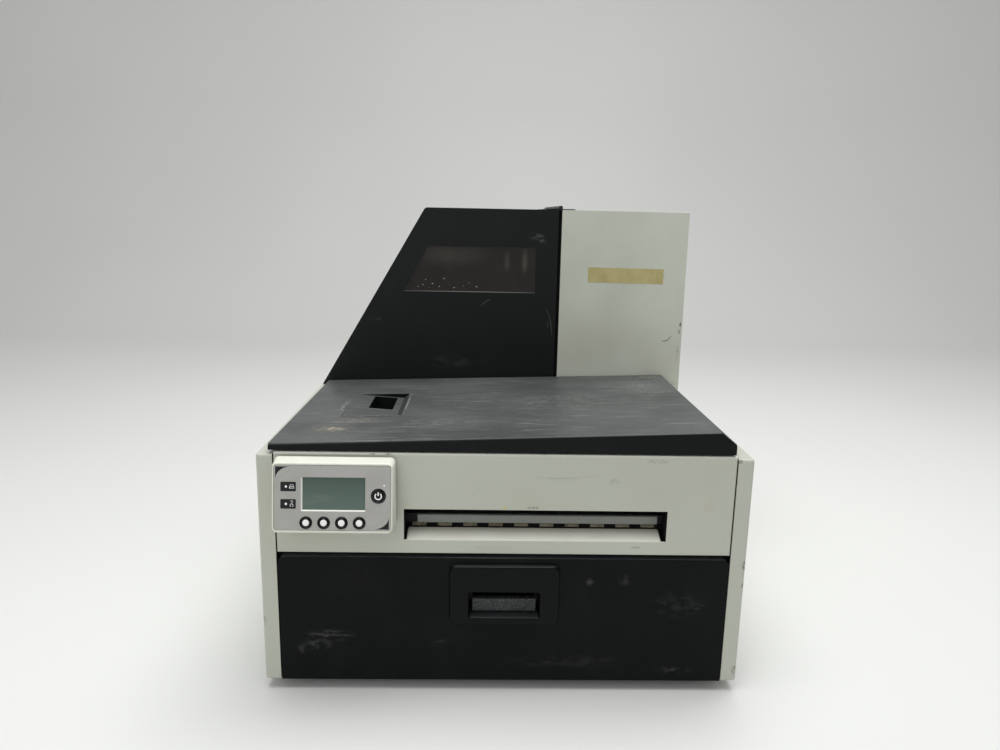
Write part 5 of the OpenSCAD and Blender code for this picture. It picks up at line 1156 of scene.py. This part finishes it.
# %% Window trim
sill_finish = moulded("window_sill_edge", screen(132, 132, 124), 0.4)
scratch("window_sill", [(x, TOWER_FRONT + 0.6, 335.6) for x in (-117.5, -60, 0, 38.6)], 0.7, sill_finish,
        "cover", steps=2, height=0.2)
crumb_finish = moulded("paper_crumb", screen(206, 206, 198), 0.7)
CRUMBS = [(-101, 340.5), (-95.5, 343), (-88, 339.5), (-84, 344.5), (-76, 341), (-64, 343.5), (-58, 340),
          (-47, 342), (-40, 346), (-31, 341.5), (-9, 343.5), (-92, 349), (-70, 350.5), (14, 341)]
for k, (x, z) in enumerate(CRUMBS):
    size = 0.45 + 0.25 * math.sin(2.3 * k)
    corners = [(x + size * (1 + 0.3 * math.sin(5 * k + 2 * j)) * math.cos(math.pi * j / 3),
                z + size * 0.7 * math.sin(math.pi * j / 3)) for j in range(6)]
    crumb = loft([[at(px, 279.2, pz) for px, pz in corners], [at(px, 279.52, pz) for px, pz in corners]])
    finish_piece(crumb, "paper_crumb_%d" % (k + 1), "cover", crumb_finish)
print("crumbs:", len(CRUMBS))

# %% [markdown]
# The seam of the tower is a gap that would let daylight through. A strip of dark foam stands behind
# it as painted shade, so that the gap shows dark; it is fixed to the housing and clear of the cover's
# swing. On the lid, the front and right edges of the finger recess get pale lines as painted highlight.
# The highlight could be found from the curvature of the mesh, but it shows on two edges only, so two
# thin pale lines follow these.

# %% Seam strip and painted highlights on the lid
# The dark strip behind the seam stands in for the shade in the gap.
seam_shade = moulded("seam_shade_foam", screen(20, 20, 20), 0.9, gloss=0.1)
SEAM = [(281.5, 222), (284.5, 222), (284.5, 431), (281.5, 431)]
bar_along_x("seam_shade_strip", [(65.6, SEAM), (69.3, SEAM)], seam_shade)
# Pale lines along the front and right edges of the recess are a painted highlight.
recess_edge_highlight = Finish("lid_recess_highlight", 0.5)
highlight_noise = recess_edge_highlight.ramp(recess_edge_highlight.noise(300, 3), 0.35, 0.65)
recess_edge_highlight.colour(recess_edge_highlight.mix(highlight_noise, screen(84, 86, 84), screen(136, 136, 130)))
RECESS = {"left": -162, "right": -102, "front": 92, "rear": 190}


def lid_height(x, y):
    back = y / 273
    left, ridge, ridge_x = 228 - 2.6 * back, 243 - 5 * back, 189 + 8 * back
    return left + (ridge - left) * (x + 209) / (ridge_x + 209)


def highlight_line(name, corners, width):
    points = [(x, y, lid_height(x, y)) for x, y in corners]
    scratch(name, points, width, recess_edge_highlight.material, "lid", steps=4, normal=(0, 0, 1),
            height=0.06)


recess_front = [(x, RECESS["front"] - 1.2) for x in range(RECESS["left"], RECESS["right"] + 1, 12)]
highlight_line("recess_highlight_front", recess_front, 1.5)
recess_right = [(RECESS["right"] + 1.2, y) for y in range(RECESS["front"], RECESS["rear"] + 1, 14)]
highlight_line("recess_highlight_right", recess_right, 1.6)
print("lid height along the recess:", [round(lid_height(x, y), 2) for x, y in recess_front[::5]])

# %% [markdown]
# The parts inside show when the lid, the cover or the ink door is open. Their moulded edges get the
# same small rounds as the outside, in one loop, since they need nothing of their own.

# %% Rounded parts inside
INSIDE = [("ink_tank_%d" % k, 0.8) for k in range(1, 6)]
INSIDE += [("printhead_lever", 0.6), ("roll_guide", 0.5), ("feet", 0.8), ("power_inlet", 0.4)]
for node, width in INSIDE:
    rounded_copy(node, [(width, None, 2)])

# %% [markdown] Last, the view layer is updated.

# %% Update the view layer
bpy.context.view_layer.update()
